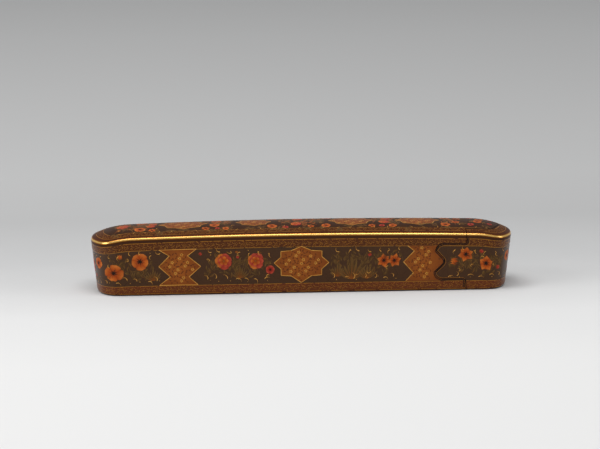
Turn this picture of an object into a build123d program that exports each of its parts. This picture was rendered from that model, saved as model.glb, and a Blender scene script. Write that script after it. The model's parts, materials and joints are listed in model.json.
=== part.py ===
from build123d import *
import os
from math import asin, cos, degrees, radians, sin, sqrt

# Lacquered pen box: an outer sleeve with a drawer that slides out along +X.
# X runs along the box, Z is up from the base, and the origin is under its middle.

# Outer form, with plan sizes taken at the shoulder height
length = 234.0
half_width_closed = 18.3
half_width_open = 20.0
shoulder_height = 30.0
end_flare = 3.4
side_flare = 1.3
end_radius = 26.0
corner_radius = 11.0
top_edge_radius = 2.2
base_edge_radius = 1.5

# Crown: a long flat arc with a tighter arc at each end, and an arc across
crown_height = 36.7
crown_dip = 1.35
crown_end_run = 22.0
crown_end_radius = 50.0
crown_end_sweep = 34.0
cross_radius = 58.0

# Walls and fits
case_wall = 2.0
case_floor = 2.0
tray_wall = 1.5
tray_floor = 1.5
slide_clearance = 0.3
seam_gap = 0.35
rim_clearance = 0.8
cut_margin = 6.0

# Seam between sleeve and drawer end, seen from the side
seam_from_end = 27.6
side_tongue_length = 17.2
side_tongue_mid_height = 16.8
side_tongue_half_height = 10.3
cusp_offset = 6.2
notch_depth = 5.0
notch_round = 2.2
cusp_bulge = 0.7
seam_corner_radius = 1.4

# Tongue of the sleeve's roof that lies in the rim of the drawer end
roof_tongue_length = 21.1
roof_tongue_half_width = 14.0
roof_tongue_bulge = 3.4
roof_tongue_corner_radius = 8.0

# Partition of the tray
partition_from_end = 52.0
partition_thickness = 1.2
partition_height = 14.0

# Inkwell and its hinged lid
inkwell_from_end = 30.0
inkwell_length = 26.0
inkwell_width = 20.0
inkwell_height = 17.6
inkwell_wall = 1.0
inkwell_corner_radius = 3.0
top_plate_thickness = 1.5
mouth_radius = 6.5
lid_thickness = 1.4
lid_gap = 0.3
lid_width = 18.0
lid_side_radius = 2.5
hinge_pin_radius = 0.5
hinge_pin_clearance = 0.05
knuckle_radius = 1.1
knuckle_gap = 0.3
hinge_stand_off = 1.5
lid_knuckle_width = 8.0
plate_knuckle_width = 2.6
knob_radius = 1.5
wad_radius = 8.0
wad_height = 8.0
wad_edge_radius = 3.2

# Reed pens, side by side on the tray's floor
pen_radius = 3.2
pen_bore_radius = 2.1
pen_count = 3
pen_spacing = 6.8
pen_row_start = 9.4
pen_end_gap = 4.0
pen_tip_gap = 8.8
nib_length = 13.0
nib_thickness = 0.9
nib_half_width = 0.9

# Penknife beside the pens
knife_gap = 0.2
knife_tip_gap = 4.8
handle_length = 74.0
handle_radius = 2.9
handle_neck_radius = 2.2
ferrule_length = 6.0
ferrule_radius = 2.5
blade_length = 40.0
blade_height = 4.6
blade_thickness = 1.1

# Nib rest and ladle, lying on the pens
loose_gap = 0.1
rest_centre = -38.0
rest_length = 66.0
rest_width = 9.0
rest_thickness = 2.4
saddle_length = 14.0
saddle_height = 2.2
saddle_groove_radius = 3.0
spoon_centre = 12.0
spoon_bowl_radius = 4.5
spoon_bowl_wall = 0.6
spoon_handle_radius = 0.8
spoon_handle_length = 48.0

# Places that follow from the sizes
half_length = length / 2
crown_break = half_length - crown_end_run
crown_radius = (crown_break**2 + crown_dip**2) / (2 * crown_dip)
crown_angle = degrees(asin(crown_break / crown_radius))
seam_x = half_length - seam_from_end
tongue_tip_x = seam_x + roof_tongue_length
tray_inset = case_wall + slide_clearance
tray_base = case_floor + slide_clearance
tray_deck = tray_base + tray_floor
form_top = crown_height + cut_margin
end_centre_x = sin(radians(crown_angle)) * (crown_radius - crown_end_radius)
end_centre_z = crown_height - crown_radius + cos(radians(crown_angle)) * (crown_radius - crown_end_radius)
tray_end_x = half_length - tray_inset
end_crown = end_centre_z + sqrt(crown_end_radius**2 - (tray_end_x - end_centre_x) ** 2)
tray_rim_height = end_crown - case_wall - rim_clearance


def outline_body(inset, low, high):
    """Solid with the box's outline, drawn in by inset, between two heights."""
    with BuildPart() as body:
        for level in (low, high):
            rise = level / shoulder_height - 1
            end = half_length + end_flare * rise - inset
            closed = half_width_closed + side_flare * rise - inset
            open_side = half_width_open + side_flare * rise - inset
            reach = half_length + cut_margin
            with BuildSketch(Plane.XY.offset(level)) as outline:
                SlotOverall(2 * end, 2 * (end_radius - inset))
                with BuildLine():
                    Polyline(
                        (-reach, -closed),
                        (reach, -open_side),
                        (reach, open_side),
                        (-reach, closed),
                        close=True,
                    )
                make_face(mode=Mode.INTERSECT)
                fillet(outline.vertices(), corner_radius - inset)
        loft(ruled=True)
    return body.part


def crown_cutter(drop):
    """Space above the crown, lowered by drop."""
    top = crown_height - drop
    half = half_width_open + 2 * cut_margin
    sag = cross_radius - sqrt(cross_radius**2 - half**2)
    with BuildPart() as space:
        with BuildLine(Plane.XZ) as ridge:
            CenterArc((0, top - crown_radius), crown_radius, 90 + crown_angle, -2 * crown_angle)
            sweep_angle = crown_end_sweep - crown_angle
            centre_z = end_centre_z - drop
            CenterArc((end_centre_x, centre_z), crown_end_radius, 90 - crown_angle, -sweep_angle)
            CenterArc((-end_centre_x, centre_z), crown_end_radius, 90 + crown_end_sweep, -sweep_angle)
        path = ridge.wires()[0]
        with BuildSketch(Plane(origin=path @ 0, x_dir=(0, 1, 0), z_dir=path % 0)):
            with BuildLine():
                ThreePointArc((-half, -sag), (0, 0), (half, -sag))
                Polyline((half, -sag), (half, half), (-half, half), (-half, -sag))
            make_face()
        sweep(path=path)
    return space.part


def cap_zone(grow):
    """Space of the drawer's end cap: all beyond the side seam, without the roof tongue."""
    cusp_x = seam_x - side_tongue_length
    waist_x = cusp_x + notch_depth
    shoulder_x = cusp_x + side_tongue_half_height - cusp_offset
    mid = side_tongue_mid_height
    far = half_length + cut_margin
    with BuildPart() as zone:
        with BuildSketch(Plane.XZ) as side:
            with BuildLine():
                top = mid + side_tongue_half_height
                base = mid - side_tongue_half_height
                middle = (cusp_x + shoulder_x) / 2 - cusp_bulge
                half_step = (cusp_offset + side_tongue_half_height) / 2 + cusp_bulge
                Polyline((seam_x, -cut_margin), (far, -cut_margin), (far, form_top), (seam_x, form_top))
                Polyline((seam_x, form_top), (seam_x, top), (shoulder_x, top))
                ThreePointArc((shoulder_x, top), (middle, mid + half_step), (cusp_x, mid + cusp_offset))
                nose_x = waist_x - notch_round / 2
                Line((cusp_x, mid + cusp_offset), (nose_x, mid + notch_round))
                ThreePointArc((nose_x, mid + notch_round), (waist_x, mid), (nose_x, mid - notch_round))
                Line((nose_x, mid - notch_round), (cusp_x, mid - cusp_offset))
                ThreePointArc((cusp_x, mid - cusp_offset), (middle, mid - half_step), (shoulder_x, base))
                Polyline((shoulder_x, base), (seam_x, base), (seam_x, -cut_margin))
            make_face()
            inner_corners = side.vertices().filter_by_position(Axis.X, seam_x - 0.1, seam_x + 0.1)
            inner_corners = inner_corners.filter_by_position(Axis.Y, base - 0.1, top + 0.1)
            fillet(inner_corners, seam_corner_radius)
            offset(amount=grow)
        extrude(amount=half_width_open + cut_margin, both=True)
        with BuildSketch(Plane.XY.offset(tray_rim_height)) as tongue:
            with BuildLine():
                square_x = tongue_tip_x - roof_tongue_bulge
                wide = roof_tongue_half_width
                start_x = seam_x - cut_margin
                Polyline((square_x, -wide), (start_x, -wide), (start_x, wide), (square_x, wide))
                ThreePointArc((square_x, wide), (tongue_tip_x, 0), (square_x, -wide))
            make_face()
            fillet(tongue.vertices().group_by(Axis.X)[-1], roof_tongue_corner_radius)
            offset(amount=-grow)
        extrude(amount=form_top, mode=Mode.SUBTRACT)
    return zone.part


with BuildPart() as outer_form:
    add(outline_body(0, 0, form_top))
    add(crown_cutter(0), mode=Mode.SUBTRACT)
    crown_faces = outer_form.faces().filter_by(lambda face: face.normal_at().Z > 0.5)
    wall_edges = outer_form.faces().filter_by(lambda face: abs(face.normal_at().Z) < 0.5).edges()
    fillet([edge for edge in crown_faces.edges() if edge in wall_edges], top_edge_radius)
    fillet(outer_form.faces().sort_by(Axis.Z)[0].edges(), base_edge_radius)

with BuildPart() as case_cavity:
    add(outline_body(case_wall, case_floor, form_top))
    add(crown_cutter(case_wall), mode=Mode.SUBTRACT)
    add(cap_zone(0), mode=Mode.SUBTRACT)

with BuildPart() as case_shell:
    add(outer_form.part)
    add(cap_zone(seam_gap / 2), mode=Mode.SUBTRACT)
    add(case_cavity.part, mode=Mode.SUBTRACT)

with BuildPart() as drawer_end_cap:
    add(outer_form.part)
    add(cap_zone(-seam_gap / 2), mode=Mode.INTERSECT)
    add(outline_body(tray_inset, tray_base, tray_rim_height), mode=Mode.SUBTRACT)

with BuildPart() as drawer_tray:
    add(outline_body(tray_inset, tray_base, tray_rim_height))
    add(outline_body(tray_inset + tray_wall, tray_deck, form_top), mode=Mode.SUBTRACT)

# Cross wall between the pens and the inkwell
partition_x = half_length - partition_from_end
with BuildPart() as tray_partition:
    with BuildSketch(Plane.YZ.offset(partition_x)):
        Rectangle(4 * half_width_open, partition_height, align=(Align.CENTER, Align.MIN))
    extrude(amount=partition_thickness)
    add(outline_body(tray_inset + tray_wall, tray_deck, form_top), mode=Mode.INTERSECT)

# Inkwell: an open pot, a top plate with a round mouth, and a lid hinged on its inner side
inkwell_x = half_length - inkwell_from_end
inkwell_top = tray_deck + inkwell_height
plate_top = inkwell_top + top_plate_thickness
lid_base = plate_top + lid_gap
hinge_x = inkwell_x - inkwell_length / 2 - hinge_stand_off
hinge_z = (plate_top + lid_base) / 2
inkwell_place = Plane.XY.offset(tray_deck)

with BuildPart() as inkwell_body:
    with BuildSketch(inkwell_place):
        with Locations((inkwell_x, 0)):
            RectangleRounded(inkwell_length, inkwell_width, inkwell_corner_radius)
    extrude(amount=inkwell_height)
    with BuildSketch(Plane.XY.offset(tray_deck + inkwell_wall)):
        with Locations((inkwell_x, 0)):
            RectangleRounded(
                inkwell_length - 2 * inkwell_wall,
                inkwell_width - 2 * inkwell_wall,
                inkwell_corner_radius - inkwell_wall,
            )
    extrude(amount=inkwell_height, mode=Mode.SUBTRACT)

plate_knuckle_y = lid_knuckle_width / 2 + knuckle_gap + plate_knuckle_width / 2
pin_half_length = plate_knuckle_y + plate_knuckle_width / 2

with BuildPart() as inkwell_top_plate:
    with BuildSketch(Plane.XY.offset(inkwell_top)):
        with Locations((inkwell_x, 0)):
            RectangleRounded(inkwell_length, inkwell_width, inkwell_corner_radius)
            Circle(mouth_radius, mode=Mode.SUBTRACT)
    extrude(amount=top_plate_thickness)
    for knuckle_y in (-plate_knuckle_y, plate_knuckle_y):
        with BuildSketch(Plane.XZ.offset(-knuckle_y)):
            with Locations((hinge_x, hinge_z)):
                Circle(knuckle_radius)
            web_height = hinge_z - lid_gap - inkwell_top
            with Locations((hinge_x, inkwell_top)):
                Rectangle(hinge_stand_off + inkwell_wall, web_height, align=(Align.MIN, Align.MIN))
        extrude(amount=plate_knuckle_width / 2, both=True)
    with BuildSketch(Plane.XZ):
        with Locations((hinge_x, hinge_z)):
            Circle(hinge_pin_radius + hinge_pin_clearance)
    extrude(amount=inkwell_width, both=True, mode=Mode.SUBTRACT)

with BuildPart() as inkwell_lid:
    lid_front_x = inkwell_x + inkwell_length / 2
    lid_back_x = hinge_x + hinge_stand_off
    with BuildSketch(Plane.XY.offset(lid_base)) as lid_outline:
        with Locations(((lid_front_x + lid_back_x) / 2, 0)):
            Rectangle(lid_front_x - lid_back_x, lid_width)
        fillet(lid_outline.vertices().group_by(Axis.X)[-1], lid_side_radius)
    extrude(amount=lid_thickness)
    with BuildSketch(Plane.XZ):
        with Locations((hinge_x, hinge_z)):
            Circle(knuckle_radius)
        with Locations((hinge_x, lid_base)):
            Rectangle(hinge_stand_off + inkwell_wall, knuckle_radius, align=(Align.MIN, Align.MIN))
    extrude(amount=lid_knuckle_width / 2, both=True)
    with BuildSketch(Plane.XZ):
        with Locations((hinge_x, hinge_z)):
            Circle(hinge_pin_radius + hinge_pin_clearance)
    extrude(amount=inkwell_width, both=True, mode=Mode.SUBTRACT)

with BuildPart() as inkwell_hinge_pin:
    with BuildSketch(Plane.XZ):
        with Locations((hinge_x, hinge_z)):
            Circle(hinge_pin_radius)
    extrude(amount=pin_half_length, both=True)

# Lifting knob on the free edge of the lid
knob_z = lid_base + lid_thickness / 2
knob_length = 2.5 * knob_radius
with BuildPart() as lid_knob:
    with BuildSketch(Plane(origin=(lid_front_x, 0, knob_z), x_dir=(1, 0, 0), z_dir=(0, 0, 1))):
        with BuildLine():
            Line((0, 0), (0, knob_radius / 2))
            Spline((0, knob_radius / 2), (1.5 * knob_radius, knob_radius), (knob_length, 0))
            Line((knob_length, 0), (0, 0))
        make_face()
    revolve(axis=Axis((0, 0, knob_z), (1, 0, 0)))

with BuildPart() as ink_wad:
    with BuildSketch(Plane.XY.offset(tray_deck + inkwell_wall)):
        with Locations((inkwell_x, 0)):
            Circle(wad_radius)
    extrude(amount=wad_height)
    fillet(ink_wad.edges().group_by(Axis.Z)[-1], wad_edge_radius)

# Reed pens with a scooped and narrowed nib
pen_start_x = -half_length + end_flare + tray_inset + tray_wall + pen_end_gap
pen_length = partition_x - pen_tip_gap - pen_start_x
pen_axis_z = tray_deck + pen_radius
pens = []
for index in range(pen_count):
    pen_y = pen_row_start - index * pen_spacing
    tip_x = pen_start_x + pen_length
    with BuildPart() as reed_pen:
        with BuildSketch(Plane.YZ.offset(pen_start_x)):
            with Locations((pen_y, pen_axis_z)):
                Circle(pen_radius)
                Circle(pen_bore_radius, mode=Mode.SUBTRACT)
        extrude(amount=pen_length)
        with BuildSketch(Plane.XZ.offset(-pen_y)):
            with BuildLine():
                Polyline(
                    (tip_x - nib_length, pen_axis_z + 2 * pen_radius),
                    (tip_x - nib_length, pen_axis_z + pen_radius),
                    (tip_x - nib_length / 2, tray_deck + nib_thickness),
                    (tip_x + 1, tray_deck + nib_thickness),
                    (tip_x + 1, pen_axis_z + 2 * pen_radius),
                    close=True,
                )
            make_face()
        extrude(amount=2 * pen_radius, both=True, mode=Mode.SUBTRACT)
        with BuildSketch(Plane.XY.offset(tray_deck - 1)):
            for side in (-1, 1):
                with BuildLine():
                    Polyline(
                        (tip_x - nib_length, pen_y + side * pen_radius),
                        (tip_x, pen_y + side * nib_half_width),
                        (tip_x + 1, pen_y + side * nib_half_width),
                        (tip_x + 1, pen_y + side * 2 * pen_radius),
                        (tip_x - nib_length, pen_y + side * 2 * pen_radius),
                        close=True,
                    )
                make_face()
        extrude(amount=4 * pen_radius, mode=Mode.SUBTRACT)
    pens.append(reed_pen.part)

# Penknife
knife_end_x = partition_x - knife_tip_gap
knife_start_x = knife_end_x - blade_length - ferrule_length - handle_length
knife_axis_z = tray_deck + handle_radius
last_pen_y = pen_row_start - (pen_count - 1) * pen_spacing
knife_side = last_pen_y - pen_radius - knife_gap - handle_radius
handle_end_x = knife_start_x + handle_length
ferrule_end_x = handle_end_x + ferrule_length
knife_axis = Axis((0, knife_side, knife_axis_z), (1, 0, 0))
knife_plane = Plane(origin=(0, knife_side, knife_axis_z), x_dir=(1, 0, 0), z_dir=(0, 0, 1))

with BuildPart() as penknife_handle:
    with BuildSketch(knife_plane):
        with BuildLine():
            butt_x = knife_start_x + handle_radius
            Line((knife_start_x, 0), (handle_end_x, 0))
            Line((handle_end_x, 0), (handle_end_x, handle_neck_radius))
            Line((handle_end_x, handle_neck_radius), (butt_x, handle_radius))
            ThreePointArc(
                (butt_x, handle_radius),
                (butt_x - handle_radius * sin(radians(45)), handle_radius * sin(radians(45))),
                (knife_start_x, 0),
            )
        make_face()
    revolve(axis=knife_axis)

with BuildPart() as penknife_ferrule:
    with BuildSketch(Plane.YZ.offset(handle_end_x)):
        with Locations((knife_side, knife_axis_z)):
            Circle(ferrule_radius)
    extrude(amount=ferrule_length, taper=3)

with BuildPart() as penknife_blade:
    with BuildSketch(Plane.XZ.offset(-knife_side)):
        with BuildLine():
            low = knife_axis_z - blade_height / 2
            high = knife_axis_z + blade_height / 2
            neck = knife_axis_z + blade_height / 4
            blade_end_x = ferrule_end_x + blade_length
            heel_x = ferrule_end_x + blade_height
            Line((ferrule_end_x, neck), (ferrule_end_x, knife_axis_z - blade_height / 4))
            Line((ferrule_end_x, knife_axis_z - blade_height / 4), (heel_x, low))
            Line((heel_x, low), (blade_end_x - 2 * blade_height, low))
            ThreePointArc(
                (blade_end_x - 2 * blade_height, low),
                (blade_end_x - blade_height / 2, knife_axis_z),
                (blade_end_x, high),
            )
            Line((blade_end_x, high), (heel_x, high))
            Line((heel_x, high), (ferrule_end_x, neck))
        make_face()
    extrude(amount=blade_thickness / 2, both=True)

# Nib rest: a bone bar with a grooved saddle, across the first two pens
loose_base = tray_deck + 2 * pen_radius + loose_gap
rest_y = pen_row_start - pen_spacing / 2
saddle_top = loose_base + rest_thickness + saddle_height
with BuildPart() as nib_rest:
    with BuildSketch(Plane.XY.offset(loose_base)):
        with Locations((rest_centre, rest_y)):
            SlotOverall(rest_length, rest_width)
    extrude(amount=rest_thickness)
    with BuildSketch(Plane.XY.offset(loose_base + rest_thickness)):
        with Locations((rest_centre, rest_y)):
            Rectangle(saddle_length, rest_width)
    extrude(amount=saddle_height)
    with BuildSketch(Plane.YZ.offset(rest_centre)):
        with Locations((rest_y, saddle_top + saddle_groove_radius - saddle_height)):
            Circle(saddle_groove_radius)
    extrude(amount=saddle_length, both=True, mode=Mode.SUBTRACT)

# Ladle for wetting the ink, on the second and third pens
spoon_y = pen_row_start - 1.5 * pen_spacing
bowl_rim_z = loose_base + spoon_bowl_radius
with BuildPart() as spoon_bowl:
    with Locations((spoon_centre, spoon_y, bowl_rim_z)):
        Sphere(spoon_bowl_radius)
        Sphere(spoon_bowl_radius - spoon_bowl_wall, mode=Mode.SUBTRACT)
    split(bisect_by=Plane.XY.offset(bowl_rim_z), keep=Keep.BOTTOM)

with BuildPart() as spoon_handle:
    with BuildSketch(Plane.YZ.offset(spoon_centre)):
        with Locations((spoon_y, bowl_rim_z - spoon_handle_radius)):
            Circle(spoon_handle_radius)
    extrude(amount=-spoon_bowl_radius - spoon_handle_length)
    with Locations((spoon_centre, spoon_y, bowl_rim_z)):
        Sphere(spoon_bowl_radius, mode=Mode.SUBTRACT)

os.makedirs("parts", exist_ok=True)
pieces = {
    "case_shell": case_shell.part,
    "drawer_tray": drawer_tray.part,
    "drawer_end_cap": drawer_end_cap.part,
    "tray_partition": tray_partition.part,
    "inkwell_body": inkwell_body.part,
    "inkwell_top_plate": inkwell_top_plate.part,
    "inkwell_lid": inkwell_lid.part,
    "inkwell_hinge_pin": inkwell_hinge_pin.part,
    "lid_knob": lid_knob.part,
    "ink_wad": ink_wad.part,
    "penknife_handle": penknife_handle.part,
    "penknife_ferrule": penknife_ferrule.part,
    "penknife_blade": penknife_blade.part,
    "nib_rest": nib_rest.part,
    "spoon_bowl": spoon_bowl.part,
    "spoon_handle": spoon_handle.part,
}
for index, pen in enumerate(pens):
    pieces[f"reed_pen_{index + 1}"] = pen
for name, piece in pieces.items():
    piece.label = name
    export_step(piece, f"parts/{name}.step")
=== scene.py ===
"""A lacquered pen box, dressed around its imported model.

The sleeve and the drawer's end are remade as smooth shells, and the painting on them, flowers,
leaves, medallions and gold scrolls, is laid on as thin strokes that follow the surface.
Sizes are in millimetres on the box, and turned into metres where a mesh is made.
"""

from __future__ import annotations

import json
import logging
import math
import random
from bisect import bisect_right
from dataclasses import dataclass, field
from enum import Enum

import bmesh
import bpy
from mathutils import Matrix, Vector, noise

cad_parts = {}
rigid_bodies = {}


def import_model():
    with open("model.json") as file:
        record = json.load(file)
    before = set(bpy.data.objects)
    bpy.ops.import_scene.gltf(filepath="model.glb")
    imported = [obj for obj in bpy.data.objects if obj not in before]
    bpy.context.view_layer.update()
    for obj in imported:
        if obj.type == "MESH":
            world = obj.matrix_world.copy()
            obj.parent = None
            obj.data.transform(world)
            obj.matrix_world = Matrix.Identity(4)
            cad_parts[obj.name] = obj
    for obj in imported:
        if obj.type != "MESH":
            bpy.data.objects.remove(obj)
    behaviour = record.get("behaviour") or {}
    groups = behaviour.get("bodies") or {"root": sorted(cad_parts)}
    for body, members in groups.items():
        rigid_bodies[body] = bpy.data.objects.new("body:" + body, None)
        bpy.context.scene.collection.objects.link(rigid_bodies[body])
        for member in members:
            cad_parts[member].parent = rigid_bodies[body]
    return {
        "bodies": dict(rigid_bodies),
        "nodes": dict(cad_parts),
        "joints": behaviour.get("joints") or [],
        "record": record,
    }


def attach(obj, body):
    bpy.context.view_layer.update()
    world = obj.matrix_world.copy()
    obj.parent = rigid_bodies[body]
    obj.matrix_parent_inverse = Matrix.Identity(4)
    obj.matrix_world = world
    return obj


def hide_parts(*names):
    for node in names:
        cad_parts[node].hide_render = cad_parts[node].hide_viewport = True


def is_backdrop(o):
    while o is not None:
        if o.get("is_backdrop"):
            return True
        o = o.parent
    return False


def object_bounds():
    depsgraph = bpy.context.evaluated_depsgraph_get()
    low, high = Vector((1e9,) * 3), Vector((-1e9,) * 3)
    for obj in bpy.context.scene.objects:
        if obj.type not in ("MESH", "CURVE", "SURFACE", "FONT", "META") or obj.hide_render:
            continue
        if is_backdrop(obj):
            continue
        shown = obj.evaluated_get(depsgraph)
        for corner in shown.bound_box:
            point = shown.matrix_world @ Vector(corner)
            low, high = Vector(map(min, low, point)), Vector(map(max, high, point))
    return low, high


LOG = logging.getLogger("pen_box")
MM = 0.001
FAR_ABOVE = 99.0
Colour = tuple[float, float, float]
Point3 = tuple[float, float, float]
Point2 = tuple[float, float]
Path = list[Point2]


def srgb(red: int, green: int, blue: int) -> Colour:
    """Turn a colour of 0 to 255 a channel into linear light.

    Args:
        red: Red channel.
        green: Green channel.
        blue: Blue channel.

    Returns:
        The colour as three linear values.
    """

    def channel(value: int) -> float:
        """Return one channel in linear light."""
        share = value / 255
        return share / 12.92 if share <= 0.04045 else ((share + 0.055) / 1.055) ** 2.4

    return channel(red), channel(green), channel(blue)


def arc_points(centre: Vector, radius: float, start: float, end: float, steps: int) -> list[Vector]:
    """Return the points of an arc between two angles in radians."""
    angles = [start + (end - start) * step / steps for step in range(steps + 1)]
    return [centre + radius * Vector((math.cos(angle), math.sin(angle))) for angle in angles]


def divide(start: Point2, end: Point2, stretch: float, least: int) -> Path:
    """Divide a straight line into even stretches.

    Args:
        start: First point.
        end: Last point.
        stretch: Length of a stretch, about.
        least: Least number of stretches.

    Returns:
        The points, with both ends.
    """
    (x0, y0), (x1, y1) = start, end
    steps = max(least, int(math.hypot(x1 - x0, y1 - y0) / stretch))
    return [(x0 + (x1 - x0) * k / steps, y0 + (y1 - y0) * k / steps) for k in range(steps + 1)]


def through(start: Point2, middle: Point2, end: Point2, steps: int) -> Path:
    """Points of a smooth bend through three points.

    Args:
        start: First point.
        middle: Point at half way.
        end: Last point.
        steps: Number of stretches.

    Returns:
        The points of the bend.
    """
    bend = []
    for step in range(steps + 1):
        t = step / steps
        a = (1 - t) * (1 - 2 * t)
        b = 4 * t * (1 - t)
        c = t * (2 * t - 1)
        bend.append(tuple(a * start[i] + b * middle[i] + c * end[i] for i in (0, 1)))
    return bend


def bend_path(start: Point2, angle: float, length: float, bend: float, steps: int = 7) -> Path:
    """Path of an arc that starts at a point and turns steadily.

    Args:
        start: First point.
        angle: First heading in degrees.
        length: Length of the path.
        bend: Whole turn in degrees.
        steps: Number of stretches.

    Returns:
        The points of the path.
    """
    x, y = start
    path = [start]
    for step in range(steps):
        heading = math.radians(angle + bend * (step + 0.5) / steps)
        x += math.cos(heading) * length / steps
        y += math.sin(heading) * length / steps
        path.append((x, y))
    return path


def encloses(polygon: Path, spot: Point2) -> bool:
    """Tell whether a polygon encloses a point.

    Args:
        polygon: Corners, in order.
        spot: The point.

    Returns:
        True where the point is inside.
    """
    x, y = spot
    crossings = 0
    for (x0, y0), (x1, y1) in zip(polygon, polygon[1:] + polygon[:1]):
        if (y0 > y) != (y1 > y) and x < x0 + (x1 - x0) * (y - y0) / (y1 - y0):
            crossings += 1
    return crossings % 2 == 1


def span_of(polygon: Path) -> tuple[list[float], list[float]]:
    """Return the least and the greatest coordinates of a polygon."""
    lows = [min(corner[i] for corner in polygon) for i in (0, 1)]
    return lows, [max(corner[i] for corner in polygon) for i in (0, 1)]


@dataclass(frozen=True)
class BoxForm:
    """The box's outer form: a drafted outline with rounded ends under a crown."""

    half_length: float = 117.0
    half_width_closed: float = 18.3
    half_width_open: float = 20.0
    shoulder: float = 30.0
    end_flare: float = 3.4
    side_flare: float = 1.3
    end_radius: float = 26.0
    corner_radius: float = 11.0
    line_reach: float = 123.0
    crown_height: float = 36.7
    crown_dip: float = 1.35
    crown_end_run: float = 22.0
    crown_end_radius: float = 50.0
    cross_radius: float = 58.0
    top_edge_radius: float = 2.2
    base_edge_radius: float = 1.5
    spine: float = 96.0
    top_level: float = 42.7
    middle_level: float = 16.8
    edge_nominal: float = 33.5
    edge_inset: float = 19.2
    inside_rise: float = 60.0
    tip_steps: int = 18
    bend_steps: int = 20
    straight_steps: int = 124

    def crown(self, x: float, y: float) -> float:
        """Height of the crown over a point of the plan.

        Args:
            x: Place along the box.
            y: Place across the box.

        Returns:
            The height.
        """
        run = self.half_length - self.crown_end_run
        radius = (run**2 + self.crown_dip**2) / (2 * self.crown_dip)
        reach = abs(x)
        if reach <= run:
            ridge = self.crown_height - radius + math.sqrt(radius**2 - reach**2)
        else:
            turn = math.asin(run / radius)
            centre_x = math.sin(turn) * (radius - self.crown_end_radius)
            centre_z = self.crown_height - radius + math.cos(turn) * (radius - self.crown_end_radius)
            ridge = centre_z + math.sqrt(max(0.0, self.crown_end_radius**2 - (reach - centre_x) ** 2))
        return ridge - self.cross_radius + math.sqrt(max(0.0, self.cross_radius**2 - y**2))

    def on_spine(self, x: float) -> Vector:
        """Return the spine's point nearest to a place along the box."""
        return Vector((max(-self.spine, min(self.spine, x)), 0.0))

    def half_ring(self, level: float, inset: float) -> Path:
        """Outline of the front half at a height, from the left tip to the right tip.

        Args:
            level: Height above the base.
            inset: Distance by which the outline is drawn in.

        Returns:
            Points of the plan, with y of zero or less.
        """
        rise = level / self.shoulder - 1
        end = self.half_length + self.end_flare * rise - inset
        closed = self.half_width_closed + self.side_flare * rise - inset
        opened = self.half_width_open + self.side_flare * rise - inset
        big = self.end_radius - inset
        small = self.corner_radius - inset
        line = Vector((2 * self.line_reach, closed - opened)).normalized()
        normal = Vector((line.y, -line.x))
        origin = Vector((-self.line_reach, -closed)) - small * normal
        points: dict[int, list[Vector]] = {}
        touch: dict[int, Vector] = {}
        for side in (-1, 1):
            centre = Vector((side * (end - big), 0.0))
            gap = origin - centre
            along = gap.dot(line)
            root = math.sqrt(along**2 - gap.length_squared + (big - small) ** 2)
            corner = origin + line * (-along + side * root)
            touch[side] = corner + small * normal
            outward = (corner - centre).normalized()
            start = math.atan2(outward.y, outward.x)
            tip = 0.0 if side > 0 else -math.pi
            turn = math.atan2(normal.y, normal.x)
            if side < 0 and start > 0:
                start -= 2 * math.pi
            bend = arc_points(corner, small, turn, start, self.bend_steps)
            points[side] = bend + arc_points(centre, big, start, tip, self.tip_steps)[1:]
        steps = self.straight_steps
        straight = [touch[-1].lerp(touch[1], step / steps) for step in range(1, steps)]
        ring = list(reversed(points[-1])) + straight + points[1]
        return [(point.x, point.y) for point in ring]

    def ring(self, level: float, inset: float = 0.0) -> Path:
        """Whole outline at a height, from the middle of the back round the left end.

        Args:
            level: Height above the base.
            inset: Distance by which the outline is drawn in.

        Returns:
            Points of the plan, the first one repeated at the end.
        """
        front = self.half_ring(level, inset)
        back = [(x, -y) for x, y in reversed(front[1:-1])]
        middle = len(back) // 2
        loop = back[middle:] + front + back[:middle]
        return loop + loop[:1]


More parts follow.
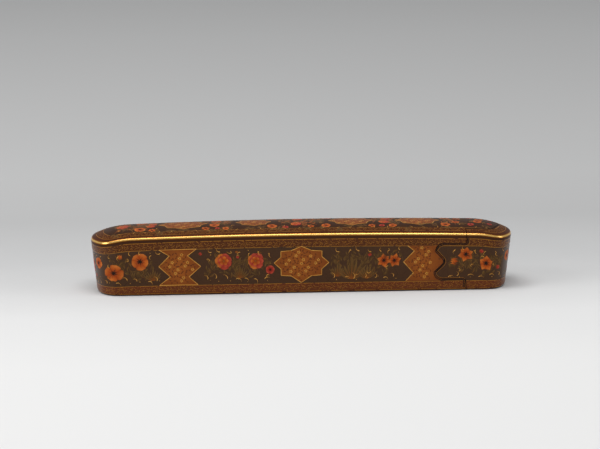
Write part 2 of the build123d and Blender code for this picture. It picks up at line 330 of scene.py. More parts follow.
@dataclass(frozen=True)
class Seam:
    """The line on which the drawer's end parts from the sleeve."""

    seam_x: float = 89.4
    tongue_length: float = 17.2
    tongue_mid: float = 16.8
    tongue_half: float = 10.3
    cusp_offset: float = 6.2
    notch_depth: float = 5.0
    notch_round: float = 2.2
    cusp_bulge: float = 0.7
    corner_radius: float = 1.4
    roof_length: float = 21.1
    roof_half_width: float = 14.0
    roof_bulge: float = 3.4
    roof_corner: float = 8.0
    roof_root: float = 8.0
    roof_sweep: float = 1.6
    gap: float = 0.35
    rim_height: float = 27.89
    wall: float = 2.0
    tray_inset: float = 2.3
    far: float = 126.0
    high: float = 45.0

    def side_line(self) -> Path:
        """Seam on the side, from the top down, as places along and heights.

        Returns:
            Points of the seam.
        """
        cusp = self.seam_x - self.tongue_length
        shoulder = cusp + self.tongue_half - self.cusp_offset
        nose = cusp + self.notch_depth
        middle = (cusp + shoulder) / 2 - self.cusp_bulge
        step = (self.cusp_offset + self.tongue_half) / 2 + self.cusp_bulge
        r = self.corner_radius
        corner = [
            (self.seam_x - r + r * math.cos(a), self.tongue_half + r - r * math.sin(a))
            for a in (math.radians(15 * k) for k in range(7))
        ]
        lobe = through((shoulder, self.tongue_half), (middle, step), (cusp, self.cusp_offset), 8)
        tip_x = nose - self.notch_round / 2
        tip = through((tip_x, self.notch_round), (nose, 0.0), (tip_x, -self.notch_round), 8)
        upper = corner + lobe
        lower = [(x, -z) for x, z in reversed(upper)]
        return [(x, z + self.tongue_mid) for x, z in upper + tip + lower]

    def roof_line(self, grow: float) -> Path:
        """Outline of the roof's tongue in the plan.

        Args:
            grow: Distance by which the outline is widened.

        Returns:
            Points of the outline.
        """
        wide = self.roof_half_width + grow
        tip = self.seam_x + self.roof_length + grow
        square = tip - self.roof_bulge
        r = self.roof_corner + grow
        turns = [math.radians(90 - 9 * k) for k in range(9)]
        upper = [(square - r + r * math.cos(a), wide - r + r * math.sin(a)) for a in turns]
        start = [(self.seam_x - self.roof_root, -wide), (self.seam_x - self.roof_root, wide)]
        return start + upper + [(tip, 0.0)] + [(x, -y) for x, y in reversed(upper)]

    def on_cap(self, x: float, y: float, z: float, roof: bool) -> bool:
        """Tell whether a point of the outer surface is on the drawer's end.

        Args:
            x: Place along the box.
            y: Place across the box.
            z: Height.
            roof: Whether the point is on the roof.

        Returns:
            True on the drawer's end.
        """
        if roof:
            tip = self.seam_x + self.roof_length
            bulge = self.roof_bulge * (y / self.roof_half_width) ** 2 * self.roof_sweep
            return x > self.seam_x and (abs(y) > self.roof_half_width or x > tip - bulge)
        line = self.side_line()
        if line[-1][1] <= z <= line[0][1]:
            for (x0, z0), (x1, z1) in zip(line, line[1:]):
                if min(z0, z1) <= z <= max(z0, z1) and abs(z1 - z0) > 1e-6:
                    return x > x0 + (x1 - x0) * (z - z0) / (z1 - z0)
        return x > self.seam_x


def deselect() -> None:
    """Deselect every object."""
    for thing in bpy.context.view_layer.objects:
        thing.select_set(False)


def activate(thing: bpy.types.Object) -> None:
    """Make one object the only selected and active one."""
    deselect()
    thing.select_set(True)
    bpy.context.view_layer.objects.active = thing


def discard(*things: bpy.types.Object) -> None:
    """Remove objects from the scene."""
    for thing in things:
        bpy.data.objects.remove(thing)


def new_mesh(name: str, points: list[Vector], faces: list[list[int]]) -> bpy.types.Object:
    """Make a mesh object from points in millimetres.

    Args:
        name: Name of the piece.
        points: Points in millimetres.
        faces: Faces as lists of point numbers.

    Returns:
        The object, linked to the scene.
    """
    mesh = bpy.data.meshes.new(name)
    mesh.from_pydata([tuple(c * MM for c in point) for point in points], [], faces)
    thing = bpy.data.objects.new(name, mesh)
    bpy.context.scene.collection.objects.link(thing)
    return thing


def tidy_normals(thing: bpy.types.Object, merge: float = 0.0) -> None:
    """Merge close points and turn all faces outwards.

    Args:
        thing: Mesh object.
        merge: Merging distance in metres, or zero for none.
    """
    activate(thing)
    bpy.ops.object.mode_set(mode="EDIT")
    bpy.ops.mesh.select_all(action="SELECT")
    if merge:
        bpy.ops.mesh.remove_doubles(threshold=merge)
    bpy.ops.mesh.normals_make_consistent(inside=False)
    bpy.ops.object.mode_set(mode="OBJECT")


def cut(thing: bpy.types.Object, tool: bpy.types.Object, keep_inside: bool, overlaps: bool = False) -> None:
    """Cut a mesh with a closed tool.

    Args:
        thing: Mesh to be cut.
        tool: Closed mesh that cuts.
        keep_inside: Keep what is inside the tool, and not what is outside it.
        overlaps: Whether the mesh has pieces that run into each other.
    """
    activate(thing)
    boolean = thing.modifiers.new("cut", "BOOLEAN")
    boolean.operation = "INTERSECT" if keep_inside else "DIFFERENCE"
    boolean.solver = "EXACT"
    boolean.use_self = overlaps
    boolean.object = tool
    bpy.ops.object.modifier_apply(modifier=boolean.name)


def smooth(thing: bpy.types.Object, angle: float) -> None:
    """Shade a mesh smooth, with edges over an angle in degrees kept sharp."""
    activate(thing)
    bpy.ops.object.shade_smooth_by_angle(angle=math.radians(angle))


def paint_over(thing: bpy.types.Object, finish: bpy.types.Material) -> None:
    """Give an object one material in place of those it has."""
    thing.data.materials.clear()
    thing.data.materials.append(finish)


@dataclass(frozen=True)
class Skin:
    """One closed form drawn from the box's outline, the outside or a hollow in it."""

    name: str
    inset: float = 0.0
    floor: float = 0.0
    drop: float = 0.0
    ceiling: float = FAR_ABOVE
    outside: bool = True


class ShellMaker:
    """Builds the closed forms from which the sleeve and the drawer's end are cut."""

    FLOOR_SHARES = (0.0, 0.3, 0.6, 0.8, 0.9)
    ROOF_STEPS = (2.9, 4.0, 5.5, 7.5, 9.5, 11.5, 13.5, 15.5, 17.5, None)
    WALL_ROWS = 9
    SHARP = 0.05

    def __init__(self, form: BoxForm) -> None:
        """Keep the form that the shells follow."""
        self.form = form

    def corner(self, up: Point2, inward: Point2, radius: float, steps: int) -> Path:
        """Points of a round that joins two lines which meet at the origin.

        Args:
            up: Unit direction of the first line away from the corner.
            inward: Unit direction of the second line away from the corner.
            radius: Radius of the round.
            steps: Number of stretches.

        Returns:
            Points from the first line to the second.
        """
        first, second = Vector(up), Vector(inward)
        half = first.angle(second) / 2
        centre = (first + second).normalized() * (radius / math.sin(half))
        start = first * (radius / math.tan(half)) - centre
        end = second * (radius / math.tan(half)) - centre
        return [tuple(centre + start.slerp(end, step / steps) * radius) for step in range(steps + 1)]

    def profiles(self, skin: Skin) -> list[list[tuple[Vector, float]]]:
        """Profiles of a form, one for each point of its outline.

        Args:
            skin: The form.

        Returns:
            A list of profiles, each a list of (point, rise) pairs from the base to the spine.
        """
        form = self.form
        low = form.ring(0.0, skin.inset)
        high = form.ring(form.top_level, skin.inset)
        count = len(low) - 1
        made = []
        for index in range(count + 1):
            here, there = Vector(low[index]), Vector(high[index])
            ahead = Vector(low[(index + 1) % count])
            behind = Vector(low[(index - 1) % count])
            tangent = (ahead - behind).normalized()
            normal = Vector((tangent.y, -tangent.x))
            edge = form.edge_nominal
            for _ in range(12):
                plan = here.lerp(there, edge / form.top_level)
                edge = min(form.crown(plan.x, plan.y) - skin.drop, skin.ceiling)
            plan = here.lerp(there, edge / form.top_level)
            base = here.lerp(there, skin.floor / form.top_level)
            lean = (there - here).dot(normal) / form.top_level
            step_in = plan - normal * 0.5
            fall = min(form.crown(step_in.x, step_in.y) - skin.drop, skin.ceiling) - edge
            wall_up = Vector((lean, 1.0)).normalized()
            over = Vector((-0.5, fall)).normalized()
            profile = []

            def add(place: Vector, height: float, rise: float) -> None:
                """Add a point of the profile."""
                profile.append((Vector((place.x, place.y, height)), rise))

            spine = form.on_spine(base.x)
            for share in self.FLOOR_SHARES:
                add(spine.lerp(base, share), skin.floor, -form.edge_inset * (1 - share))
            radius = form.base_edge_radius if skin.outside else self.SHARP
            for out, height in self.corner((-1.0, 0.0), tuple(wall_up), radius, 5):
                add(base + normal * out, skin.floor + height, height)
            edge_radius = form.top_edge_radius if skin.outside else self.SHARP
            top = self.corner(tuple(-wall_up), tuple(over), edge_radius, 8)
            start, end = skin.floor + radius * 1.05, edge + top[0][1]
            scale = form.edge_nominal / edge
            for step in range(1, self.WALL_ROWS):
                height = start + (end - start) * step / self.WALL_ROWS
                add(here.lerp(there, height / form.top_level), height, height * scale)
            for out, height in top:
                add(plan + normal * out, edge + height, form.edge_nominal + height - out)
            spine = form.on_spine(plan.x)
            width = (plan - spine).length
            for inward in self.ROOF_STEPS:
                share = 0.0 if inward is None else max(0.0, 1 - inward / width)
                place = spine.lerp(plan, share)
                height = min(form.crown(place.x, place.y) - skin.drop, skin.ceiling)
                add(place, height, form.edge_nominal + width * (1 - share))
            made.append(profile)
        return made

    def body(self, skin: Skin) -> bpy.types.Object:
        """Make one closed form from a grid whose points are set on the profiles.

        Args:
            skin: The form.

        Returns:
            The mesh object, with the way round and up the form in its UV map.
        """
        profiles = self.profiles(skin)
        columns, rows = len(profiles) - 1, len(profiles[0]) - 1
        deselect()
        bpy.ops.mesh.primitive_grid_add(x_subdivisions=columns, y_subdivisions=rows, size=2.0)
        grid = bpy.context.active_object
        grid.name = skin.name
        mesh = grid.data
        around = arc_lengths(self.form.ring(self.form.middle_level))
        place = {}
        for vertex in mesh.vertices:
            column = round((vertex.co.x + 1) / 2 * columns)
            row = round((vertex.co.y + 1) / 2 * rows)
            place[vertex.index] = (column, row)
        layer = mesh.uv_layers[0]
        layer.name = "form"
        for loop in mesh.loops:
            column, row = place[loop.vertex_index]
            rise = profiles[column][row][1] if skin.outside else self.form.inside_rise
            layer.data[loop.index].uv = (around[column] * MM, rise * MM)
        for vertex in mesh.vertices:
            column, row = place[vertex.index]
            vertex.co = profiles[column % columns][row][0] * MM
        tidy_normals(grid, merge=2e-6)
        return grid


def arc_lengths(ring: Path) -> list[float]:
    """Distance round a ring at each point, counted from the middle of the front.

    Args:
        ring: Points of the ring, the first one repeated at the end.

    Returns:
        One distance for each point, negative towards the left end.
    """
    total = [0.0]
    for (x0, y0), (x1, y1) in zip(ring, ring[1:]):
        total.append(total[-1] + math.hypot(x1 - x0, y1 - y0))
    fronts = [i for i, (x, y) in enumerate(ring) if y < 0]
    nearest = min(fronts, key=lambda i: abs(ring[i][0]))
    zero = total[nearest] - ring[nearest][0]
    return [value - zero for value in total]


class Chart:
    """A part of the surface on which the painting is laid out in millimetres."""

    roof = False

    def point(self, p: float, q: float, lift: float) -> Vector:
        """Return the point at p and q, lifted off the surface."""
        raise NotImplementedError


class WallChart(Chart):
    """The walls: p runs round the box from the middle of the front, q is the nominal height."""

    TIP_HEIGHT = 17.0

    def __init__(self, form: BoxForm) -> None:
        """Prepare the outlines at the base and above the top."""
        self.form = form
        self.low = form.ring(0.0)
        self.high = form.ring(form.top_level)
        self.around = arc_lengths(form.ring(form.middle_level))
        self.length = self.around[-1] - self.around[0]

    def right_tip(self) -> float:
        """Return the distance round the box at which the right end's tip lies."""
        return max(self.around, key=lambda p: self.point(p, self.TIP_HEIGHT, 0.0).x)

    def edge(self, p: float) -> float:
        """Return the height of the top edge at p."""
        index, share = self.locate(p)
        x, y = self.plan(index, share, self.form.edge_nominal)
        return self.form.crown(x, y)

    def locate(self, p: float) -> tuple[int, float]:
        """Return the stretch of outline at p, and the share of it."""
        first = self.around[0]
        p = first + (p - first) % self.length
        index = min(len(self.around) - 2, max(0, bisect_right(self.around, p) - 1))
        return index, (p - self.around[index]) / (self.around[index + 1] - self.around[index])

    def plan(self, index: int, share: float, height: float) -> Point2:
        """Return the place in plan on a stretch of outline at a height."""
        rise = height / self.form.top_level
        ends = [Vector(self.low[k]).lerp(Vector(self.high[k]), rise) for k in (index, index + 1)]
        place = ends[0].lerp(ends[1], share)
        return place.x, place.y

    def point(self, p: float, q: float, lift: float) -> Vector:
        """Return the point at p and q, lifted off the wall."""
        height = q * self.edge(p) / self.form.edge_nominal
        index, share = self.locate(p)
        x, y = self.plan(index, share, height)
        x1, y1 = self.plan(index, 0.0, height)
        x2, y2 = self.plan(index, 1.0, height)
        tangent = Vector((x2 - x1, y2 - y1, 0.0)).normalized()
        xu, yu = self.plan(index, share, height + 1.0)
        normal = tangent.cross(Vector((xu - x, yu - y, 1.0))).normalized()
        return Vector((x, y, height)) + normal * lift


class BackChart(Chart):
    """The back wall, with p along the box as on the front."""

    def __init__(self, wall: WallChart) -> None:
        """Keep the walls and find the right end's tip."""
        self.wall = wall
        self.tip = wall.right_tip()

    def point(self, p: float, q: float, lift: float) -> Vector:
        """Return the point of the back at p and q."""
        return self.wall.point(2 * self.tip - p, q, lift)


class RoofChart(Chart):
    """The crown: p runs along the box and q across it."""

    roof = True

    def __init__(self, form: BoxForm) -> None:
        """Keep the form."""
        self.form = form

    def point(self, p: float, q: float, lift: float) -> Vector:
        """Return the point at p and q, lifted off the crown."""
        crown = self.form.crown
        slope_x = crown(p + 0.5, q) - crown(p - 0.5, q)
        slope_y = crown(p, q + 0.5) - crown(p, q - 0.5)
        normal = Vector((-slope_x, -slope_y, 1.0)).normalized()
        return Vector((p, q, crown(p, q))) + normal * lift


class RimChart(Chart):
    """The edge of the crown: p runs round the box and q is the distance in from the edge."""

    roof = True

    def __init__(self, wall: WallChart, crown: RoofChart) -> None:
        """Keep the two charts that meet here."""
        self.wall = wall
        self.crown = crown

    def point(self, p: float, q: float, lift: float) -> Vector:
        """Return the point at p, a distance in from the edge."""
        index, share = self.wall.locate(p)
        x, y = self.wall.plan(index, share, self.wall.edge(p))
        centre = self.wall.form.on_spine(x)
        plan = Vector((x, y))
        plan = centre.lerp(plan, 1 - q / (plan - centre).length)
        return self.crown.point(plan.x, plan.y, lift)


class BaseChart(Chart):
    """The underside: p runs along the box and q across it."""

    def point(self, p: float, q: float, lift: float) -> Vector:
        """Return the point at p and q, lifted off the underside."""
        return Vector((p, q, -lift))


class Outline(Enum):
    """Ways in which a stroke's half width runs along it."""

    HEART = "heart"
    LEAF = "leaf"
    COMMA = "comma"
    LINE = "line"
    DISC = "disc"

    def width(self, t: float) -> float:
        """Share of the full half width at a share of the length.

        Args:
            t: Share of the length, from 0 to 1.

        Returns:
            Share of the half width.
        """
        if self is Outline.HEART:
            return max(0.04, math.sin(math.pi * t**2.0) ** 0.5)
        if self is Outline.LEAF:
            return max(0.04, math.sin(math.pi * t**0.85) ** 1.1)
        if self is Outline.COMMA:
            return max(0.05, min(1.0, t * 7 + 0.3) * (1 - t) ** 0.8)
        if self is Outline.DISC:
            return max(0.05, math.sqrt(max(0.0, 1 - (2 * t - 1) ** 2)))
        return 1.0


class Pigment(Enum):
    """Paints of the decoration."""

    ORANGE = "orange"
    ROSE = "rose"
    GOLD = "gold"
    GILT = "gilt"
    OCHRE = "ochre"
    LEAF = "leaf"
    UMBER = "umber"
    BROWN = "brown"


class Flower(Enum):
    """Kinds of flower and bud in the painting."""

    ORANGE = "orange"
    BELL = "bell"
    POINTED = "pointed"
    STAR = "star"
    ROSE = "rose"
    SMALL_ROSE = "small_rose"
    ORANGE_BUD = "orange_bud"
    ROSE_BUD = "rose_bud"
    OCHRE_BUD = "ochre_bud"


BLOSSOMS = {
    Flower.ORANGE: (5, Pigment.ORANGE, False, 1.0),
    Flower.BELL: (4, Pigment.ORANGE, False, 1.15),
    Flower.POINTED: (6, Pigment.ORANGE, True, 1.0),
    Flower.STAR: (5, Pigment.ORANGE, True, 0.78),
    Flower.SMALL_ROSE: (5, Pigment.ROSE, False, 1.0),
}
BUDS = {
    Flower.ORANGE_BUD: Pigment.ORANGE,
    Flower.ROSE_BUD: Pigment.ROSE,
    Flower.OCHRE_BUD: Pigment.OCHRE,
}


@dataclass
class StrokeStore:
    """Closed strokes of one paint on one part of the box."""

    points: list[Vector] = field(default_factory=list)
    tints: list[Colour] = field(default_factory=list)
    faces: list[list[int]] = field(default_factory=list)

    def add(self, points: list[Vector], tints: list[Colour], faces: list[list[int]]) -> None:
        """Add one closed stroke."""
        offset = len(self.points)
        self.points += points
        self.tints += tints
        self.faces += [[offset + corner for corner in face] for face in faces]

    def mesh(self, name: str) -> bpy.types.Object:
        """Make the mesh, with its tints as an attribute, and return it."""
        thing = new_mesh(name, self.points, self.faces)
        tint = thing.data.attributes.new("tint", "FLOAT_COLOR", "POINT")
        for item, value in zip(tint.data, self.tints):
            item.color = (*value, 1.0)
        return thing


class Painter:
    """Lays strokes and fills on the box, sorted by paint and by the part they are on."""

    SINK = 0.03
    LEVELS = 12
    LEVEL_STEP = 0.0006
    DOME = 0.004
    NARROW = 0.3
    CELL = 0.8
    LEAST_HALF = 0.02
    REACH = 0.3
    ROOF_FILL_STEP = 1.5
    WALL_FILL_STEP = 2.5

    def __init__(self, seam: Seam, seed: int = 11) -> None:
        """Start with no strokes."""
        self.seam = seam
        self.random = random.Random(seed)
        self.stores: dict[tuple[Pigment, str], StrokeStore] = {}
        self.count = 0

    def part(self, chart: Chart, points: list[Vector]) -> str:
        """Name the part that points lie on: case, drawer or both."""
        sides = set()
        across = self.REACH if chart.roof else 0.0
        for point in points:
            for dx, dy in ((-self.REACH, 0.0), (self.REACH, 0.0), (0.0, -across), (0.0, across)):
                sides.add(self.seam.on_cap(point.x + dx, point.y + dy, point.z, chart.roof))
        return "both" if len(sides) > 1 else ("drawer" if True in sides else "case")

    def store(self, pigment: Pigment, part: str) -> StrokeStore:
        """Return the store of a paint on a part."""
        return self.stores.setdefault((pigment, part), StrokeStore())

    def stroke(
        self, chart: Chart, path: Path, half_width: float, outline: Outline, pigment: Pigment, lift: float
    ) -> None:
        """Lay one stroke along a path.

        Args:
            chart: Part of the surface.
            path: Points of the stroke's middle line.
            half_width: Greatest half width.
            outline: How the half width runs along it.
            pigment: Paint of the stroke.
            lift: Height over the surface.
        """
        self.count += 1
        lift += self.LEVEL_STEP * (self.count % self.LEVELS)
        shade = self.random.random()
        last = len(path) - 1
        points, tints = [], []
        cells = 1 if half_width < self.NARROW else 2 * math.ceil(half_width / self.CELL)
        across = [-1 + 2 * k / cells for k in range(cells + 1)]
        count = 2 * len(across)
        for index, (p, q) in enumerate(path):
            ahead, behind = path[min(last, index + 1)], path[max(0, index - 1)]
            run = Vector((ahead[0] - behind[0], ahead[1] - behind[1]))
            run = run.normalized() if run.length > 1e-9 else Vector((1.0, 0.0))
            t = index / last
            half = max(self.LEAST_HALF, half_width * outline.width(t))
            for side in across + list(reversed(across)):
                bottom = len(points) % count >= len(across)
                height = -self.SINK if bottom else lift + self.DOME * (1 - abs(side))
                points.append(chart.point(p - run.y * half * side, q + run.x * half * side, height))
                tints.append((t, 0.5 + 0.5 * side, shade))
        faces = [list(range(count - 1, -1, -1))]
        for a in range(0, count * last, count):
            b = a + count
            for k in range(count):
                n = (k + 1) % count
                faces.append([a + k, a + n, b + n, b + k])
        faces.append(list(range(count * last, count * last + count)))
        self.store(pigment, self.part(chart, points)).add(points, tints, faces)

    def fill(self, chart: Chart, polygon: Path, pigment: Pigment, lift: float, part: str = "") -> None:
        """Fill a polygon with paint.

        Args:
            chart: Part of the surface.
            polygon: Corners, in order.
            pigment: Paint of the fill.
            lift: Height over the surface.
            part: Part that it is kept on, or empty to find out.
        """
        work = bmesh.new()
        work.faces.new([work.verts.new((p, q, 0.0)) for p, q in polygon])
        lows, highs = span_of(polygon)
        step = self.ROOF_FILL_STEP if chart.roof else self.WALL_FILL_STEP
        for axis in (0, 1):
            normal = (1.0, 0.0, 0.0) if axis == 0 else (0.0, 1.0, 0.0)
            place = lows[axis] + step
            while place < highs[axis] - 0.2:
                geometry = list(work.verts) + list(work.edges) + list(work.faces)
                spot = (place, 0.0, 0.0) if axis == 0 else (0.0, place, 0.0)
                bmesh.ops.bisect_plane(work, geom=geometry, plane_co=spot, plane_no=normal, dist=1e-5)
                place += step
        work.verts.index_update()
        shade = self.random.random()
        count = len(work.verts)
        flat = [(vertex.co.x, vertex.co.y) for vertex in work.verts]
        points = [chart.point(p, q, height) for height in (lift, -self.SINK) for p, q in flat]
        span = [max(1e-6, highs[i] - lows[i]) for i in (0, 1)]
        tints = [((p - lows[0]) / span[0], (q - lows[1]) / span[1], shade) for p, q in flat] * 2
        faces = []
        for face in work.faces:
            corners = [vertex.index for vertex in face.verts]
            faces.append(corners)
            faces.append([count + corner for corner in reversed(corners)])
        for edge in work.edges:
            if len(edge.link_faces) == 1:
                loop = edge.link_loops[0]
                a, b = loop.vert.index, loop.link_loop_next.vert.index
                faces.append([b, a, count + a, count + b])
        work.free()
        self.store(pigment, part or self.part(chart, points)).add(points, tints, faces)


@dataclass
class Garden:
    """Flowers, leaves and sprigs of the painting."""

    painter: Painter
    chart: Chart

    def lay(self, path: Path, half: float, outline: Outline, pigment: Pigment, lift: float) -> None:
        """Lay a stroke on this part of the surface."""
        self.painter.stroke(self.chart, path, half, outline, pigment, lift)

    def flower(self, kind: Flower, place: Point2, size: float, turn: float) -> None:
        """Paint a flower or a bud.

        Args:
            kind: What it is.
            place: Its middle.
            size: Its radius, or half its length.
            turn: Heading of its first petal, or of its tip, in degrees.
        """
        if kind is Flower.ROSE:
            self.rose(place, size, turn)
        elif kind in BUDS:
            self.bud(place, size, turn, BUDS[kind])
        else:
            self.blossom(place, size, turn, *BLOSSOMS[kind])

    def blossom(
        self,
        centre: Point2,
        radius: float,
        turn: float,
        petals: int,
        pigment: Pigment,
        pointed: bool,
        squash: float,
    ) -> None:
        """Paint a single flower.

        Args:
            centre: Its middle.
            radius: Its radius.
            turn: Heading of the first petal in degrees.
            petals: Number of petals.
            pigment: Paint of the petals.
            pointed: Whether the petals end in a point.
            squash: Width over height.
        """
        rand = self.painter.random
        for index in range(petals):
            angle = turn + 360 * index / petals + rand.uniform(-5, 5)
            reach = radius * rand.uniform(0.92, 1.05)
            path = bend_path((0.0, 0.0), angle, reach, rand.uniform(-8, 8), 9)
            path = [(centre[0] + x * squash, centre[1] + y) for x, y in path]
            wide = reach * math.sin(math.pi / petals) * (0.78 if pointed else 0.88)
            self.lay(path, wide, Outline.LEAF if pointed else Outline.HEART, pigment, 0.034)
            vein = [(centre[0] + (x - centre[0]) * 0.72, centre[1] + (y - centre[1]) * 0.72) for x, y in path]
            self.lay(vein, radius * 0.035, Outline.COMMA, Pigment.BROWN, 0.048)
        self.disc(centre, radius * 0.2, Pigment.UMBER, 0.056)
        for index in range(7):
            path = bend_path(centre, 51 * index + 10, radius * 0.36, 25, 4)
            self.lay(path, radius * 0.035, Outline.LINE, Pigment.UMBER, 0.054)

    def rose(self, centre: Point2, radius: float, turn: float) -> None:
        """Paint a double rose.

        Args:
            centre: Its middle.
            radius: Its radius.
            turn: Heading of its first petal in degrees.
        """
        rand = self.painter.random
        rounds = (
            (7, 1.0, 0.5, Pigment.ROSE, 0.032),
            (6, 0.74, 0.5, Pigment.ROSE, 0.044),
            (5, 0.55, 0.45, Pigment.ORANGE, 0.056),
        )
        for number, (petals, share, wide, pigment, lift) in enumerate(rounds):
            for index in range(petals):
                angle = turn + 31 * number + 360 * index / petals
                reach = radius * share * rand.uniform(0.9, 1.06)
                path = bend_path(centre, angle, reach, rand.uniform(-14, 14), 8)
                lit = number == 0 and math.cos(math.radians(angle - turn - 150)) > 0.35
                hue = Pigment.ORANGE if lit else pigment
                self.lay(path, reach * wide * 0.92, Outline.HEART, hue, lift)
        self.disc(centre, radius * 0.15, Pigment.OCHRE, 0.07)

    def disc(self, centre: Point2, radius: float, pigment: Pigment, lift: float = 0.04) -> None:
        """Paint a round spot."""
        path = bend_path((centre[0] - radius, centre[1]), 0.0, 2 * radius, 0.0, 8)
        self.lay(path, radius, Outline.DISC, pigment, lift)

    def bud(self, centre: Point2, radius: float, angle: float, pigment: Pigment) -> None:
        """Paint a bud with its green cup.

        Args:
            centre: Its middle.
            radius: Half its length.
            angle: Heading of its tip in degrees.
            pigment: Paint of the bud.
        """
        heading = math.radians(angle)
        foot = (centre[0] - math.cos(heading) * radius, centre[1] - math.sin(heading) * radius)
        for spread in (-24, 0, 24):
            path = bend_path(foot, angle + spread, radius * 2, -spread * 0.7, 7)
            self.lay(path, radius * 0.5, Outline.LEAF, pigment, 0.036)
        for spread in (-50, 50):
            path = bend_path(foot, angle + spread, radius * 1.1, -spread * 0.8, 5)
            self.lay(path, radius * 0.2, Outline.LEAF, Pigment.LEAF, 0.046)

    def leaf(self, start: Point2, angle: float, length: float, bend: float, wide: float) -> None:
        """Paint a leaf with a pale rib.

        Args:
            start: Its foot.
            angle: First heading in degrees.
            length: Its length.
            bend: Whole turn in degrees.
            wide: Half width over length.
        """
        path = bend_path(start, angle, length, bend, 8)
        self.lay(path, length * wide, Outline.LEAF, Pigment.LEAF, 0.02)
        self.lay(path[:7], length * 0.014 + 0.03, Outline.COMMA, Pigment.OCHRE, 0.03)

    def stem(self, start: Point2, angle: float, length: float, bend: float, leaves: int) -> None:
        """Paint a stem with leaves to both sides.

        Args:
            start: Its foot.
            angle: First heading in degrees.
            length: Its length.
            bend: Whole turn in degrees.
            leaves: Number of leaves.
        """
        steps = 12
        path = bend_path(start, angle, length, bend, steps)
        self.lay(path, 0.11, Outline.LINE, Pigment.LEAF, 0.024)
        for index in range(leaves):
            where = 2 + index * (steps - 3) // max(1, leaves)
            heading = angle + bend * where / steps
            side = 1 if index % 2 else -1
            self.leaf(path[where], heading + 48 * side, 3.4 - 0.3 * index, -40 * side, 0.2)

    def comma(
        self,
        start: Point2,
        angle: float,
        length: float,
        bend: float,
        half: float,
        pigment: Pigment = Pigment.GOLD,
    ) -> None:
        """Paint a comma of gold."""
        self.lay(bend_path(start, angle, length, bend, 6), half, Outline.COMMA, pigment, 0.038)

    def curl(self, centre: Point2, size: float, turn: float) -> None:
        """Paint a pair of gold commas that curl about a point."""
        self.comma(centre, turn, size * 1.6, 150, size * 0.12)
        self.comma(centre, turn + 200, size * 1.2, -140, size * 0.1)
        self.disc((centre[0] + size * 0.2, centre[1] - size * 0.1), size * 0.14, Pigment.GOLD)

    def medallion(
        self, polygon: Path, border: Path | None = None, lattice: Path | None = None, part: str = ""
    ) -> None:
        """Paint a gold-brown field with its border and a lattice inside.

        Args:
            polygon: Corners of the field.
            border: Corners of the border, or none for the whole outline.
            lattice: Corners of the lattice's field, or none for the whole field.
            part: Part that the field is kept on, or empty to find out.
        """
        self.painter.fill(self.chart, polygon, Pigment.OCHRE, 0.016, part)
        corners = border or polygon + polygon[:1]
        for start, end in zip(corners, corners[1:]):
            self.lay(divide(start, end, 1.6, 2), 0.16, Outline.LINE, Pigment.GOLD, 0.05)
        self.arabesque(lattice or polygon)

    def arabesque(self, polygon: Path) -> None:
        """Fill a field with rows of small rosettes and curled leaves.

        Args:
            polygon: Corners of the field.
        """
        rand = self.painter.random
        pitch, margin = 2.7, 1.2
        around = [math.radians(45 * k) for k in range(8)]
        lows, highs = span_of(polygon)
        rows = int((highs[1] - lows[1]) / (pitch * 0.8))
        columns = int((highs[0] - lows[0]) / pitch)
        for row in range(rows + 1):
            for column in range(columns + 1):
                x = lows[0] + (column + 0.5 * (row % 2)) * pitch + rand.uniform(-0.25, 0.25)
                y = lows[1] + row * pitch * 0.8 + rand.uniform(-0.2, 0.2)
                turn = rand.uniform(0, 360)
                ring = [(x + margin * math.cos(a), y + margin * math.sin(a)) for a in around]
                if not all(encloses(polygon, spot) for spot in ring):
                    continue
                if (row + 2 * column) % 3 == 0:
                    for petal in range(5):
                        path = bend_path((x, y), turn + 72 * petal, 1.0, 10, 4)
                        self.lay(path, 0.28, Outline.HEART, Pigment.GOLD, 0.03)
                    self.disc((x, y), 0.27, Pigment.UMBER, 0.05)
                    continue
                for side in (-1, 1):
                    path = bend_path((x, y), turn + 90 * side, 1.8, 80 * side, 5)
                    self.lay(path, 0.3, Outline.LEAF, Pigment.BROWN, 0.028)
                self.disc((x, y), 0.2, Pigment.ORANGE, 0.05)

    def undergrowth(self, low: Point2, high: Point2, count: int, pigment: Pigment = Pigment.LEAF) -> None:
        """Fill a field with dim leaves and sprigs.

        Args:
            low: Lower left corner of the field.
            high: Upper right corner of the field.
            count: Number of sprigs.
            pigment: Paint of the sprigs.
        """
        rand = self.painter.random
        tall = high[1] - low[1]

        def fits(path: Path) -> bool:
            """Return whether a path stays in the field."""
            return all(low[1] <= b <= high[1] and low[0] <= a <= high[0] for a, b in path)

        for index in range(count):
            x = low[0] + (high[0] - low[0]) * (index + rand.random()) / count
            rising = rand.random() < 0.62
            y = rand.uniform(low[1], low[1] + 0.45 * tall)
            y = y if rising else high[1] - (y - low[1]) * 0.5
            angle = rand.uniform(50, 130) * (1 if rising else -1)
            bend = rand.uniform(-75, 75)
            path = bend_path((x, y), angle, rand.uniform(0.28, 0.62) * tall, bend, 8)
            if not fits(path):
                continue
            self.lay(path, 0.1, Outline.LINE, pigment, 0.014)
            for where in (2, 3, 5, 6):
                side = rand.choice((-1, 1))
                heading = angle + bend * where / 8 + 50 * side
                leaf = bend_path(path[where], heading, rand.uniform(2.0, 4.2), -45 * side, 6)
                if fits(leaf):
                    self.lay(leaf, rand.uniform(0.35, 0.7), Outline.LEAF, pigment, 0.016)


